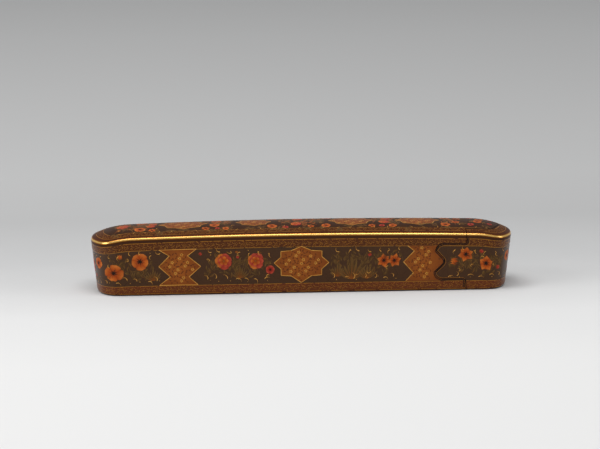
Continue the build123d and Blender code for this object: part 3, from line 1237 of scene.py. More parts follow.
class WallPainting:
    """The painting of the walls, with three medallions and sprays between them."""

    SPRAYS = (
        (Flower.ORANGE, -90.4, 20.0, 5.0, 60),
        (Flower.BELL, -105.4, 14.2, 4.9, 160),
        (Flower.ORANGE_BUD, -101.4, 23.2, 1.7, 80),
        (Flower.ROSE, -44.6, 19.0, 4.9, 20),
        (Flower.ROSE, -27.2, 18.8, 4.7, 50),
        (Flower.ROSE_BUD, -57.4, 23.4, 1.1, 40),
        (Flower.ROSE_BUD, -36.9, 21.3, 1.0, 250),
        (Flower.OCHRE_BUD, -37.4, 24.0, 0.9, 90),
        (Flower.SMALL_ROSE, -19.2, 13.6, 2.5, 10),
        (Flower.POINTED, 43.6, 18.0, 4.0, 100),
        (Flower.POINTED, 49.4, 18.0, 3.9, 70),
        (Flower.ROSE_BUD, 35.6, 21.6, 1.2, 300),
        (Flower.POINTED, 88.9, 21.4, 4.4, 80),
        (Flower.ORANGE_BUD, 83.0, 17.2, 2.4, 180),
        (Flower.STAR, 100.6, 16.2, 4.8, 90),
        (Flower.ROSE_BUD, 97.2, 23.2, 1.4, 45),
        (Flower.ROSE_BUD, 107.5, 14.0, 1.5, 10),
    )
    STEMS = (
        (-108.0, 6.6, 80, 12, -30),
        (-88.0, 7.0, 100, 11, 20),
        (-96.5, 24.5, 260, 14, 30),
        (-54.0, 8.0, 60, 14, 30),
        (-40.0, 7.5, 120, 12, -40),
        (-33.0, 8.0, 40, 13, 60),
        (-22.0, 25.0, 230, 14, -50),
        (-50.0, 25.5, 300, 10, 40),
        (20.0, 25.0, 250, 13, 40),
        (37.0, 8.0, 70, 12, -20),
        (52.0, 25.3, 230, 10, 40),
        (94.0, 8.0, 110, 13, -30),
        (86.0, 9.0, 75, 9, 20),
        (103.0, 8.0, 70, 12, 30),
    )
    TUFTS = ((26.0, 7.4, 12.5), (34.5, 7.6, 8.0), (18.0, 9.0, 7.0), (-36.0, 9.0, 7.5), (-84.0, 8.6, 7.0))
    FIELDS = ((-113, -82, 24), (-57, -17, 30), (13, 55, 32), (79, 112, 24))
    CURL_FIELDS = ((-112, -82), (-56, -18), (14, 54), (78, 110))
    LOZENGE = [(-79.6, 26.4), (-74.2, 22.8), (-80.4, 16.8), (-74.4, 10.6), (-80.8, 5.9)]
    LOZENGE += [(-59.4, 5.9), (-64.2, 10.4), (-57.4, 16.4), (-64.3, 22.6), (-59.3, 26.4)]
    STAR = [(-17.0, 17.3), (-13.2, 20.6), (-13.2, 23.8), (-7.6, 24.2), (-2.0, 26.6), (3.7, 24.2)]
    STAR += [(9.3, 23.8), (9.3, 20.6), (13.2, 17.2), (9.3, 13.6), (9.3, 10.2), (3.7, 9.8)]
    STAR += [(-2.0, 6.0), (-7.6, 9.8), (-13.2, 10.2), (-13.2, 13.8)]
    CUT_SHORT = [(56.4, 26.4), (60.2, 23.4), (54.6, 17.0), (60.4, 10.6), (56.4, 5.9)]
    FIELD_LOW, FIELD_HIGH = 6.2, 25.8
    MIRROR_REACH = 40
    MIRROR_SUM = 34.0
    EDGE_HEIGHT = 33.2

    def __init__(self, painter: Painter, chart: WallChart) -> None:
        """Keep the painter and the walls."""
        self.painter = painter
        self.chart = chart
        self.garden = Garden(painter, chart)

    def foliage(self, garden: Garden, place: Point2, size: float) -> None:
        """Paint a tuft of leaves that rises from a foot."""
        for away in range(-4, 5):
            length = size * (1.0 - 0.05 * abs(away)) * self.painter.random.uniform(0.8, 1.1)
            garden.leaf(place, 90 + away * 19, length, away * -9, 0.1)

    def side(self, mirror: bool) -> None:
        """Paint one long side.

        Args:
            mirror: False for the front, True for the back.
        """
        garden = Garden(self.painter, BackChart(self.chart) if mirror else self.chart)
        for kind, x, z, size, turn in self.SPRAYS:
            if mirror and abs(x) <= self.MIRROR_REACH:
                z, turn = self.MIRROR_SUM - z, 10
            garden.flower(kind, (x, z), size, turn)
        garden.medallion(self.LOZENGE)
        garden.medallion(self.STAR)
        field_end = [(76.5, 5.9), (77.0, 26.4)]
        lattice_end = [(71.6, 5.9), (71.6, 26.4)]
        garden.medallion(
            self.CUT_SHORT + field_end, self.CUT_SHORT, self.CUT_SHORT + lattice_end, "both_case"
        )
        self.seam_shade_and_highlight(garden)
        for x, z, angle, length, bend in self.STEMS:
            garden.stem((x, z), angle, length, bend, 4)
        for x, z, size in self.TUFTS:
            self.foliage(garden, (x, z), size)
        for low, high, count in self.FIELDS:
            garden.undergrowth((low, self.FIELD_LOW), (high, self.FIELD_HIGH), count)
        for low, high in self.CURL_FIELDS:
            self.curls(garden, low + 2.0, high)

    def curls(self, garden: Garden, x: float, end: float) -> None:
        """Paint gold curls along the top and the foot of a panel.

        Args:
            garden: Garden of this side.
            x: Place of the first curl.
            end: End of the panel.
        """
        rand = self.painter.random
        while x < end:
            turn = rand.choice((-150, -110, 120, 160))
            reach = rand.uniform(2.8, 4.6)
            garden.comma((x, 7.6 + rand.uniform(0, 1.6)), rand.uniform(10, 80), reach, turn, 0.2)
            top = (x + 3, 24.6 - rand.uniform(0, 1.6))
            garden.comma(top, rand.uniform(150, 250), reach * 0.9, -turn, 0.19)
            garden.disc((x + 1.6, rand.uniform(6.6, 9)), rand.uniform(0.12, 0.24), Pigment.GOLD)
            garden.disc((x + 2.4, rand.uniform(22.5, 25)), rand.uniform(0.12, 0.24), Pigment.GOLD)
            if rand.random() < 0.5:
                garden.curl((x + 1.5, rand.uniform(9, 23)), rand.uniform(1.0, 1.5), rand.uniform(0, 360))
            x += rand.uniform(4.5, 6.5)

    def seam_shade_and_highlight(self, garden: Garden) -> None:
        """Paint painted shade along the seam, dark on both sides of the gap, and a paler painted highlight on
        the drawer's end.
        """
        seam = self.painter.seam
        scale = self.chart.form.edge_nominal / self.EDGE_HEIGHT
        line = [(seam.seam_x, 31.0), (seam.seam_x, 29.0)] + seam.side_line()
        line += [(seam.seam_x, 4.5), (seam.seam_x, 1.8)]
        # painted shade in the gap on both sides, and a painted highlight beside it on the drawer's end
        edges = ((-0.42, 0.26, Pigment.UMBER), (0.42, 0.26, Pigment.UMBER), (0.84, 0.12, Pigment.GILT))
        for away, half, pigment in edges:
            path = []
            for index, (x, z) in enumerate(line):
                x0, z0 = line[max(0, index - 1)]
                x1, z1 = line[min(len(line) - 1, index + 1)]
                run = Vector((x1 - x0, z1 - z0)).normalized()
                path.append((x - run.y * away, (z + run.x * away) * scale))
            garden.lay(path, half, Outline.LINE, pigment, 0.062)

    def ends(self) -> None:
        """Paint the two rounded ends."""
        right = self.chart.right_tip()
        garden = self.garden
        for middle in (right - self.chart.length / 2, right):
            garden.rose((middle, 17.2), 5.2, 15)
            for side in (-1, 1):
                garden.flower(Flower.ORANGE, (middle + side * 11.5, 20.0), 3.6, 60)
                garden.stem((middle + side * 3, 7.5), 90 - side * 50, 13, -side * 60, 4)
                garden.stem((middle + side * 8, 25.2), 270 - side * 40, 11, side * 50, 3)
                garden.flower(Flower.ROSE_BUD, (middle + side * 6.5, 11.2), 1.4, 90 - side * 60)
            for k in range(-3, 4):
                garden.comma((middle + 4.2 * k, 7.0), 30 + 15 * k, 2.6, 70, 0.17)
                garden.comma((middle + 4.2 * k + 2, 24.8), 160 + 10 * k, 2.6, 80, 0.16)

    def scroll(self, chart: Chart, low: float, high: float, pitch: float) -> None:
        """Paint a running scroll round the box.

        Args:
            chart: Part of the surface, with p round the box.
            low: Lower edge of the band.
            high: Upper edge of the band.
            pitch: Length of one repeat.
        """
        garden = Garden(self.painter, chart)
        length = self.chart.length
        count = int(length / pitch)
        middle, tall = (low + high) / 2, (high - low) / 2
        rand = self.painter.random
        gilt = Pigment.GILT
        for index in range(count):
            p = self.chart.around[0] + length * index / count
            up = 1 if index % 2 else -1
            garden.comma((p, middle - up * tall * 0.7), up * 62, tall * 2.1, -up * 95, 0.15, gilt)
            branch = (p + pitch * 0.5, middle + up * tall * 0.2)
            garden.comma(branch, up * 120, tall * 1.1, up * 120, 0.12, gilt)
            twig = (p + pitch * 0.45, middle)
            garden.comma(twig, up * rand.uniform(-50, 10), tall * 0.9, up * 60, 0.12, gilt)
            garden.disc((p + pitch * 0.62, middle + up * tall * 0.62), 0.16, gilt)


class RoofPainting:
    """The painting of the crown: medallions on the middle line and flowers beside them."""

    FLOWERS = (
        (-101.0, 0.0, Flower.ROSE, 4.4),
        (-90.0, 7.6, Flower.ORANGE, 3.9),
        (-83.5, 9.4, Flower.POINTED, 2.6),
        (-84.0, 2.4, Flower.ROSE, 2.9),
        (-54.0, 9.6, Flower.POINTED, 2.9),
        (-47.6, 9.8, Flower.SMALL_ROSE, 1.6),
        (-49.0, 4.4, Flower.ORANGE, 3.3),
        (-43.0, 10.2, Flower.ORANGE, 2.3),
        (-17.4, 8.8, Flower.ORANGE, 3.4),
        (-10.0, 10.6, Flower.SMALL_ROSE, 2.1),
        (-4.0, 5.6, Flower.ROSE, 3.6),
        (4.0, 9.8, Flower.POINTED, 2.5),
        (12.5, 9.0, Flower.ORANGE, 3.3),
        (38.0, 10.0, Flower.POINTED, 2.7),
        (43.5, 9.8, Flower.SMALL_ROSE, 2.0),
        (49.4, 9.8, Flower.ORANGE, 2.7),
        (45.0, 3.6, Flower.ROSE, 3.4),
        (79.0, 8.4, Flower.ORANGE, 3.3),
        (85.2, 4.0, Flower.POINTED, 3.1),
        (93.0, 8.2, Flower.SMALL_ROSE, 2.2),
        (97.5, 2.8, Flower.ORANGE, 3.0),
        (104.0, 5.0, Flower.SMALL_ROSE, 1.8),
    )
    TURNS = {Flower.ROSE: 10, Flower.POINTED: 15, Flower.SMALL_ROSE: 40, Flower.ORANGE: 70}
    MEDALLIONS = ((-66.0, 12.5, 9.2), (-27.0, 9.0, 7.5), (27.0, 11.5, 9.2), (64.0, 11.5, 8.8))
    FIELDS = ((-106, -80, 16), (-53, -37, 12), (-17, 14, 20), (39, 52, 10), (76, 86, 8))
    FIELD_HALF = 12.3
    SIZE = 0.84

    def __init__(self, painter: Painter, chart: RoofChart) -> None:
        """Keep the painter and the crown."""
        self.painter = painter
        self.garden = Garden(painter, chart)

    def paint(self) -> None:
        """Paint the whole crown."""
        garden, rand = self.garden, self.painter.random
        for x, y, kind, size in self.FLOWERS:
            for side in (-1, 1) if y > 2.0 else (1,):
                place = (x + (0.0 if side < 0 else 1.5), side * y)
                garden.flower(kind, place, size * self.SIZE, self.TURNS[kind])
        for x, wide, tall in self.MEDALLIONS:
            polygon = []
            for index in range(16):
                angle = math.radians(22.5 * index)
                reach = 1.0 if index % 2 == 0 else 0.86
                reach *= 1.08 if index % 8 == 0 else 1.0
                polygon.append((x + wide * reach * math.cos(angle), tall * reach * math.sin(angle)))
            garden.medallion(polygon)
        self.seam_shade_and_highlight()
        for low, high, count in self.FIELDS:
            for pigment in (Pigment.LEAF, Pigment.OCHRE):
                garden.undergrowth((low, -self.FIELD_HALF), (high, self.FIELD_HALF), count, pigment)
        for x in range(-104, 104, 7):
            near = any(abs(x - m[0]) < m[1] + 2 for m in self.MEDALLIONS)
            for side in (-1, 1):
                y = side * (11.6 if near else rand.uniform(3, 10))
                garden.stem((x, y), rand.uniform(0, 360), 7.5, rand.uniform(-90, 90), 4)
                garden.comma((x + 3, side * 12.6), rand.uniform(0, 180), 2.4, 70, 0.16)
                if not near:
                    garden.curl((x + 2, side * rand.uniform(1, 9)), 1.3, rand.uniform(0, 360))

    def seam_shade_and_highlight(self) -> None:
        """Paint painted shade round the roof's tongue, dark on both sides of the gap, with a paler painted
        highlight on the drawer's end.
        """
        seam = self.painter.seam
        # painted shade in the gap on both sides, and a painted highlight beside it on the drawer's end
        edges = ((-0.4, 0.24, Pigment.UMBER), (0.4, 0.24, Pigment.UMBER), (0.8, 0.12, Pigment.GILT))
        for away, half, pigment in edges:
            wide = seam.roof_half_width + away
            ends = [(seam.seam_x + 0.4, wide), (seam.seam_x + 0.4, -wide)]
            bends = ends[:1] + seam.roof_line(away)[2:] + ends[1:]
            path = bends[:1]
            for start, end in zip(bends, bends[1:]):
                path += divide(start, end, 1.5, 1)[1:]
            self.garden.lay(path, half, Outline.LINE, pigment, 0.06)


class BasePainting:
    """The painting of the underside: a gold vine on plain lacquer."""

    PITCH = 10.6

    def __init__(self, painter: Painter) -> None:
        """Keep the painter."""
        self.garden = Garden(painter, BaseChart())

    def paint(self) -> None:
        """Paint the vine, clear of the edges."""
        for index in range(-9, 10):
            x = index * self.PITCH
            up = 1 if index % 2 else -1
            self.garden.comma((x - 5, -up * 4.0), up * 45, 12.0, -up * 90, 0.35)
            self.garden.comma((x, up * 2.0), up * 110, 5.0, up * 150, 0.3)
            self.garden.comma((x + 2, up * 3.0), -up * 20, 4.0, -up * 130, 0.3)
            self.garden.disc((x, up * 6.5), 0.7, Pigment.GOLD)


class Nodes:
    """Short ways to add nodes to a material."""

    def __init__(self, name: str) -> None:
        """Start a material with its shader and output."""
        self.material = bpy.data.materials.new(name)
        self.material.use_nodes = True
        self.tree = self.material.node_tree
        self.tree.nodes.clear()
        self.shader = self.tree.nodes.new("ShaderNodeBsdfPrincipled")
        output = self.tree.nodes.new("ShaderNodeOutputMaterial")
        self.link(self.shader.outputs[0], output.inputs["Surface"])

    def link(self, source, target) -> None:
        """Join an output to an input."""
        self.tree.links.new(source, target)

    def feed(self, socket, value) -> None:
        """Set an input to a number or colour, or join it to an output."""
        if isinstance(value, bpy.types.NodeSocket):
            self.link(value, socket)
        elif isinstance(value, tuple) and len(value) == 3 and socket.type == "RGBA":
            socket.default_value = (*value, 1.0)
        else:
            socket.default_value = value

    def math(self, operation: str, first, second=0.0, third=None, clamp: bool = False):
        """Add a math node and return its output."""
        node = self.tree.nodes.new("ShaderNodeMath")
        node.operation = operation
        node.use_clamp = clamp
        self.feed(node.inputs[0], first)
        self.feed(node.inputs[1], second)
        if third is not None:
            self.feed(node.inputs[2], third)
        return node.outputs[0]

    def times(self, first, second, clamp: bool = False):
        """Return a product."""
        return self.math("MULTIPLY", first, second, clamp=clamp)

    def most(self, first, *others):
        """Return the greatest of several values."""
        for other in others:
            first = self.math("MAXIMUM", first, other)
        return first

    def linear(self, value, scale: float, offset: float, clamp: bool = False):
        """Return a value times a scale, plus an offset."""
        return self.math("MULTIPLY_ADD", value, scale, offset, clamp)

    def above(self, value, limit: float):
        """Return one where a value is above a limit, and zero elsewhere."""
        return self.math("GREATER_THAN", value, limit)

    def below(self, value, limit: float):
        """Return one where a value is below a limit, and zero elsewhere."""
        return self.math("LESS_THAN", value, limit)

    def between(self, value, low: float, high: float):
        """Return one where a value lies between two limits, and zero elsewhere."""
        return self.times(self.above(value, low), self.below(value, high))

    def mix(self, factor, first, second):
        """Add a colour mix and return its output."""
        node = self.tree.nodes.new("ShaderNodeMix")
        node.data_type = "RGBA"
        self.feed(node.inputs[0], factor)
        self.feed(node.inputs[6], first)
        self.feed(node.inputs[7], second)
        return node.outputs[2]

    def ramp(self, factor, stops: list[tuple[float, Colour]], sharp: bool = False):
        """Add a colour ramp and return its colour output."""
        node = self.tree.nodes.new("ShaderNodeValToRGB")
        node.color_ramp.interpolation = "CONSTANT" if sharp else "LINEAR"
        elements = node.color_ramp.elements
        while len(elements) < len(stops):
            elements.new(0.5)
        for element, (place, colour) in zip(elements, stops):
            element.position = place
            element.color = (*colour, 1.0)
        self.feed(node.inputs[0], factor)
        return node.outputs[0]

    def noise(self, vector, scale: float, detail: float = 4.0, rough: float = 0.55):
        """Add a noise texture and return its value."""
        node = self.tree.nodes.new("ShaderNodeTexNoise")
        node.inputs["Scale"].default_value = scale
        node.inputs["Detail"].default_value = detail
        node.inputs["Roughness"].default_value = rough
        self.feed(node.inputs["Vector"], vector)
        return node.outputs[0]

    def cells(self, vector, scale: float, edge: bool = False):
        """Add a cell texture and return its distance."""
        node = self.tree.nodes.new("ShaderNodeTexVoronoi")
        node.feature = "DISTANCE_TO_EDGE" if edge else "F1"
        node.inputs["Scale"].default_value = scale
        self.feed(node.inputs["Vector"], vector)
        return node.outputs["Distance"]

    def place(self):
        """Return the object coordinates."""
        return self.tree.nodes.new("ShaderNodeTexCoord").outputs["Object"]

    def stretch(self, vector, scale: Point3):
        """Return coordinates stretched along the axes."""
        node = self.tree.nodes.new("ShaderNodeMapping")
        self.feed(node.inputs["Vector"], vector)
        node.inputs["Scale"].default_value = scale
        return node.outputs[0]

    def split(self, vector):
        """Return the three parts of a vector."""
        node = self.tree.nodes.new("ShaderNodeSeparateXYZ")
        self.link(vector, node.inputs[0])
        return node.outputs[0], node.outputs[1], node.outputs[2]

    def rise(self):
        """Return the way up the form in millimetres, from the shells' UV map."""
        source = self.tree.nodes.new("ShaderNodeUVMap")
        source.uv_map = "form"
        return self.times(self.split(source.outputs[0])[1], 1000.0)

    def tint(self):
        """Return the three values of the strokes' tint attribute."""
        source = self.tree.nodes.new("ShaderNodeAttribute")
        source.attribute_name = "tint"
        split = self.tree.nodes.new("ShaderNodeSeparateColor")
        self.link(source.outputs["Color"], split.inputs[0])
        return split.outputs[0], split.outputs[1], split.outputs[2]

    def bump(self, height, strength: float, distance: float) -> None:
        """Give the shader a bump."""
        node = self.tree.nodes.new("ShaderNodeBump")
        node.inputs["Strength"].default_value = strength
        node.inputs["Distance"].default_value = distance
        self.feed(node.inputs["Height"], height)
        self.link(node.outputs[0], self.shader.inputs["Normal"])

    def surface(
        self, colour, roughness, metallic=0.0, coat=0.0, coat_rough: float = 0.05, specular: float = 0.5
    ) -> None:
        """Set the shader's main inputs."""
        self.feed(self.shader.inputs["Base Color"], colour)
        self.feed(self.shader.inputs["Roughness"], roughness)
        self.feed(self.shader.inputs["Metallic"], metallic)
        self.shader.inputs["Specular IOR Level"].default_value = specular
        self.feed(self.shader.inputs["Coat Weight"], coat)
        self.shader.inputs["Coat Roughness"].default_value = coat_rough


@dataclass(frozen=True)
class LacquerFinish:
    """The painted ground of the shells, with bands, rulings, gold edges and a painted highlight along the top
    edge, under varnish.
    """

    panel: Colour = srgb(70, 49, 33)
    panel_warm: Colour = srgb(84, 50, 25)
    band: Colour = srgb(90, 46, 19)
    low_band: Colour = srgb(112, 54, 26)
    band_dark: Colour = srgb(60, 30, 12)
    roof: Colour = srgb(50, 25, 9)
    roof_band: Colour = srgb(72, 28, 3)
    base: Colour = srgb(84, 40, 24)
    gold: Colour = srgb(206, 138, 46)
    edge: Colour = srgb(122, 66, 12)
    # pale colour of the painted highlight along the rounding of the top edge
    painted_highlight: Colour = srgb(250, 206, 118)
    inside: Colour = srgb(52, 24, 17)
    dirt: Colour = (0.01, 0.006, 0.004)
    crack: Colour = (0.012, 0.008, 0.005)
    depth: float = 20.0
    span: float = 85.0
    rulings: tuple[Point2, ...] = (
        (1.0, 0.16), (5.5, 0.14), (26.3, 0.14), (30.6, 0.16), (36.6, 0.18), (40.4, 0.16)
    )

    def ground(self, kit: Nodes, rise):
        """Bands of colour up the form.

        Args:
            kit: The material's nodes.
            rise: Way up the form in millimetres.

        Returns:
            The colour's output.
        """
        bands = (
            (0.6, self.band_dark),
            (1.2, self.low_band),
            (5.5, self.panel),
            (26.3, self.band),
            (30.6, self.band_dark),
            (32.3, self.edge),
            (34.6, self.roof_band),
            (40.4, self.roof),
            (57.0, self.inside),
        )
        stops = [(0.0, self.base)] + [((height + self.depth) / self.span, tone) for height, tone in bands]
        level = kit.math("DIVIDE", kit.math("ADD", rise, self.depth), self.span)
        return kit.ramp(level, stops, sharp=True)

    def gilding(self, kit: Nodes, place, rise):
        """Where gold lies: rulings, dust in the bands, and the rubbed edge.

        Args:
            kit: The material's nodes.
            place: Object coordinates.
            rise: Way up the form in millimetres.

        Returns:
            The output that says how much gold there is.
        """
        lines = []
        for height, half in self.rulings:
            away = kit.math("ABSOLUTE", kit.math("SUBTRACT", rise, height))
            lines.append(kit.below(away, half))
        wear = kit.above(kit.noise(place, 260.0, 4.0, 0.7), 0.43)
        ruled = kit.times(kit.times(kit.most(*lines), wear), 0.5)
        bands = [kit.between(rise, low, high) for low, high in ((1.2, 5.5), (26.3, 30.6), (36.6, 40.4))]
        dust = kit.times(kit.times(kit.below(kit.cells(place, 1250.0), 0.26), kit.most(*bands)), 0.45)
        rim = kit.times(kit.between(rise, 32.6, 34.5), 0.95)
        rub = kit.linear(kit.noise(place, 150.0, 5.0, 0.65), 0.7, 0.45)
        return kit.most(ruled, dust, kit.times(rim, rub, clamp=True))

    def build(self) -> bpy.types.Material:
        """Build the material and return it."""
        kit = Nodes("painted_lacquer")
        place = kit.place()
        rise = kit.rise()
        fine = kit.noise(place, 420.0, 3.0, 0.7)
        ground = self.ground(kit, rise)
        ground = kit.mix(kit.times(kit.noise(place, 38.0, 5.0, 0.6), 0.55), ground, self.panel_warm)
        ground = kit.mix(kit.times(fine, 0.30), ground, self.dirt)
        gilt = self.gilding(kit, place, rise)
        colour = kit.mix(gilt, ground, self.gold)
        cracks = kit.below(kit.cells(place, 300.0, edge=True), 0.012)
        cracks = kit.times(cracks, kit.above(kit.noise(place, 60.0), 0.52))
        colour = kit.mix(kit.times(cracks, 0.45), colour, self.crack)
        edge_zone = kit.between(rise, 32.6, 34.5)
        colour = kit.mix(kit.times(edge_zone, 0.5), colour, self.edge)
        # painted highlight: a pale streak painted into the colour along the top edge's rounding, where a
        # lamp's reflection falls
        colour = kit.mix(kit.times(kit.between(rise, 33.0, 34.1), 0.75), colour, self.painted_highlight)
        rough = kit.linear(kit.noise(place, 90.0, 4.0), 0.22, 0.26)
        rough = kit.times(rough, kit.math("SUBTRACT", 1.0, kit.times(edge_zone, 0.62)))
        polish = self.polish(kit, place, rise)
        kit.surface(colour, rough, kit.times(gilt, 0.8), coat=polish, coat_rough=0.08, specular=0.05)
        kit.bump(kit.math("ADD", kit.noise(place, 55.0, 3.0), kit.times(fine, 0.18)), 0.16, 0.0004)
        return kit.material

    @staticmethod
    def polish(kit: Nodes, place, rise):
        """Weight of the varnish, thicker on the walls of the two ends.

        Args:
            kit: The material's nodes.
            place: Object coordinates.
            rise: Way up the form in millimetres.

        Returns:
            The weight's output.
        """
        reach = kit.math("SUBTRACT", kit.math("ABSOLUTE", kit.split(place)[0]), 0.102)
        share = kit.times(reach, 80.0, clamp=True)
        weight = kit.linear(kit.times(share, kit.below(rise, 31.0)), 0.36, 0.02)
        return kit.math("ADD", weight, kit.times(kit.below(rise, 36.0), 0.07))


@dataclass(frozen=True)
class PaintFinish:
    """A brushed paint under varnish, from the foot of a stroke to its tip."""

    foot: Colour
    middle: Colour
    tip: Colour
    rim: Colour
    metallic: float = 0.0
    roughness: float = 0.4
    spread: float = 0.35
    bare: Colour = srgb(60, 42, 28)

    def build(self, name: str) -> bpy.types.Material:
        """Build the material under a name and return it."""
        kit = Nodes(name)
        along, across, shade = kit.tint()
        place = kit.place()
        colour = kit.ramp(along, [(0.0, self.foot), (0.5, self.middle), (0.95, self.tip)])
        off_middle = kit.math("ABSOLUTE", kit.math("SUBTRACT", across, 0.5))
        rim = kit.times(kit.math("POWER", kit.times(off_middle, 2.0), 3.0), 0.6)
        colour = kit.mix(rim, colour, self.rim)
        hairs = kit.noise(place, 900.0, 3.0, 0.6)
        colour = kit.mix(kit.times(hairs, self.spread), colour, self.rim)
        colour = kit.mix(kit.times(shade, self.spread), colour, self.foot)
        worn = kit.above(kit.noise(place, 330.0, 5.0, 0.7), 0.63)
        colour = kit.mix(kit.times(worn, 0.5), colour, self.bare)
        rough = kit.linear(hairs, 0.2, self.roughness - 0.1)
        kit.surface(colour, rough, self.metallic, coat=0.05, coat_rough=0.08, specular=0.05)
        kit.bump(hairs, 0.08, 0.0001)
        return kit.material


@dataclass(frozen=True)
class PlainFinish:
    """A finish of two colours with a grain, for the pieces inside."""

    light: Colour
    dark: Colour
    grain: Point3
    scale: float
    roughness: float
    metallic: float = 0.0
    coat: float = 0.0
    bump: float = 0.1

    def build(self, name: str) -> bpy.types.Material:
        """Build the material under a name and return it."""
        kit = Nodes(name)
        place = kit.place()
        streaks = kit.noise(kit.stretch(place, self.grain), self.scale, 6.0, 0.65)
        spots = kit.noise(place, self.scale * 0.35, 4.0, 0.6)
        colour = kit.mix(kit.linear(streaks, 1.6, -0.3, clamp=True), self.dark, self.light)
        colour = kit.mix(kit.times(kit.above(spots, 0.6), 0.35), colour, self.dark)
        rough = kit.linear(streaks, 0.22, self.roughness - 0.1)
        kit.surface(colour, rough, self.metallic, coat=self.coat, coat_rough=0.1)
        kit.bump(streaks, self.bump, 0.0002)
        return kit.material


PAINTS = {
    Pigment.ORANGE: PaintFinish(srgb(124, 44, 14), srgb(184, 86, 28), srgb(212, 122, 50), srgb(132, 52, 18)),
    Pigment.ROSE: PaintFinish(srgb(112, 24, 18), srgb(164, 50, 36), srgb(194, 84, 58), srgb(116, 26, 26)),
    Pigment.GOLD: PaintFinish(
        srgb(230, 172, 84), srgb(214, 150, 62), srgb(182, 118, 44), srgb(160, 100, 38), 0.3, 0.34
    ),
    Pigment.OCHRE: PaintFinish(
        srgb(130, 71, 27), srgb(158, 89, 34), srgb(124, 64, 25), srgb(104, 52, 22), 0.15
    ),
    Pigment.GILT: PaintFinish(
        srgb(160, 108, 46), srgb(146, 94, 38), srgb(120, 72, 28), srgb(112, 64, 24), 0.3, 0.36
    ),
    Pigment.LEAF: PaintFinish(srgb(70, 48, 26), srgb(102, 72, 36), srgb(122, 90, 46), srgb(58, 42, 25)),
    Pigment.UMBER: PaintFinish(srgb(38, 22, 16), srgb(46, 28, 20), srgb(58, 36, 24), srgb(34, 20, 14)),
    Pigment.BROWN: PaintFinish(srgb(92, 46, 22), srgb(104, 54, 26), srgb(92, 46, 22), srgb(70, 34, 18)),
}

INNER_FINISHES = {
    "dark_lacquer": PlainFinish(srgb(74, 30, 20), srgb(36, 16, 12), (0.2, 1.0, 1.0), 160.0, 0.35, coat=0.4),
    "brass": PlainFinish(srgb(196, 152, 84), srgb(128, 90, 44), (1.0, 1.0, 1.0), 180.0, 0.32, 1.0),
    "silk": PlainFinish(srgb(44, 38, 42), srgb(14, 12, 14), (1.0, 6.0, 2.0), 420.0, 0.8, bump=0.9),
    "reed": PlainFinish(srgb(150, 92, 46), srgb(88, 46, 22), (0.05, 1.0, 1.0), 520.0, 0.42, coat=0.2),
    "bone": PlainFinish(srgb(226, 212, 180), srgb(188, 166, 124), (0.08, 1.0, 1.0), 300.0, 0.4),
    "steel": PlainFinish(srgb(176, 176, 178), srgb(112, 110, 108), (0.05, 1.0, 1.0), 600.0, 0.3, 1.0),
}


@dataclass(frozen=True)
class SilkWad:
    """The tangle of silk that holds the ink in the pot."""

    centre: Point3 = (87.0, 0.0, 8.7)
    radius: float = 7.6
    half_height: float = 3.8
    squareness: float = 2.6
    swell: float = 1.02
    fold_depth: float = 0.16
    strand_depth: float = 0.09

    def build(self, finish: bpy.types.Material) -> None:
        """Make the wad and let it stand for its node.

        Args:
            finish: Material of the silk.
        """
        deselect()
        bpy.ops.mesh.primitive_ico_sphere_add(subdivisions=6, radius=1.0)
        wad = bpy.context.active_object
        wad.name = "silk_wad"
        power = self.squareness
        offset = Vector((3.1, 0.4, 1.7))
        for vertex in wad.data.vertices:
            way = vertex.co.normalized()
            flat = math.hypot(way.x, way.y)
            square = (abs(way.z) ** power + flat**power) ** (-1 / power)
            strands = noise.noise(Vector((way.x * 3.0, way.y * 9.0, way.z * 4.0)) + offset)
            fold = abs(noise.noise(way * 2.6)) * self.fold_depth + abs(strands) * self.strand_depth
            reach = square * (self.swell - fold)
            shape = Vector((way.x * self.radius, way.y * self.radius, way.z * self.half_height)) * reach
            vertex.co = (shape + Vector(self.centre)) * MM
        paint_over(wad, finish)
        smooth(wad, 60.0)
        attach(wad, "drawer")
        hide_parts("ink_wad")
        LOG.info("%s: %d faces", wad.name, len(wad.data.polygons))


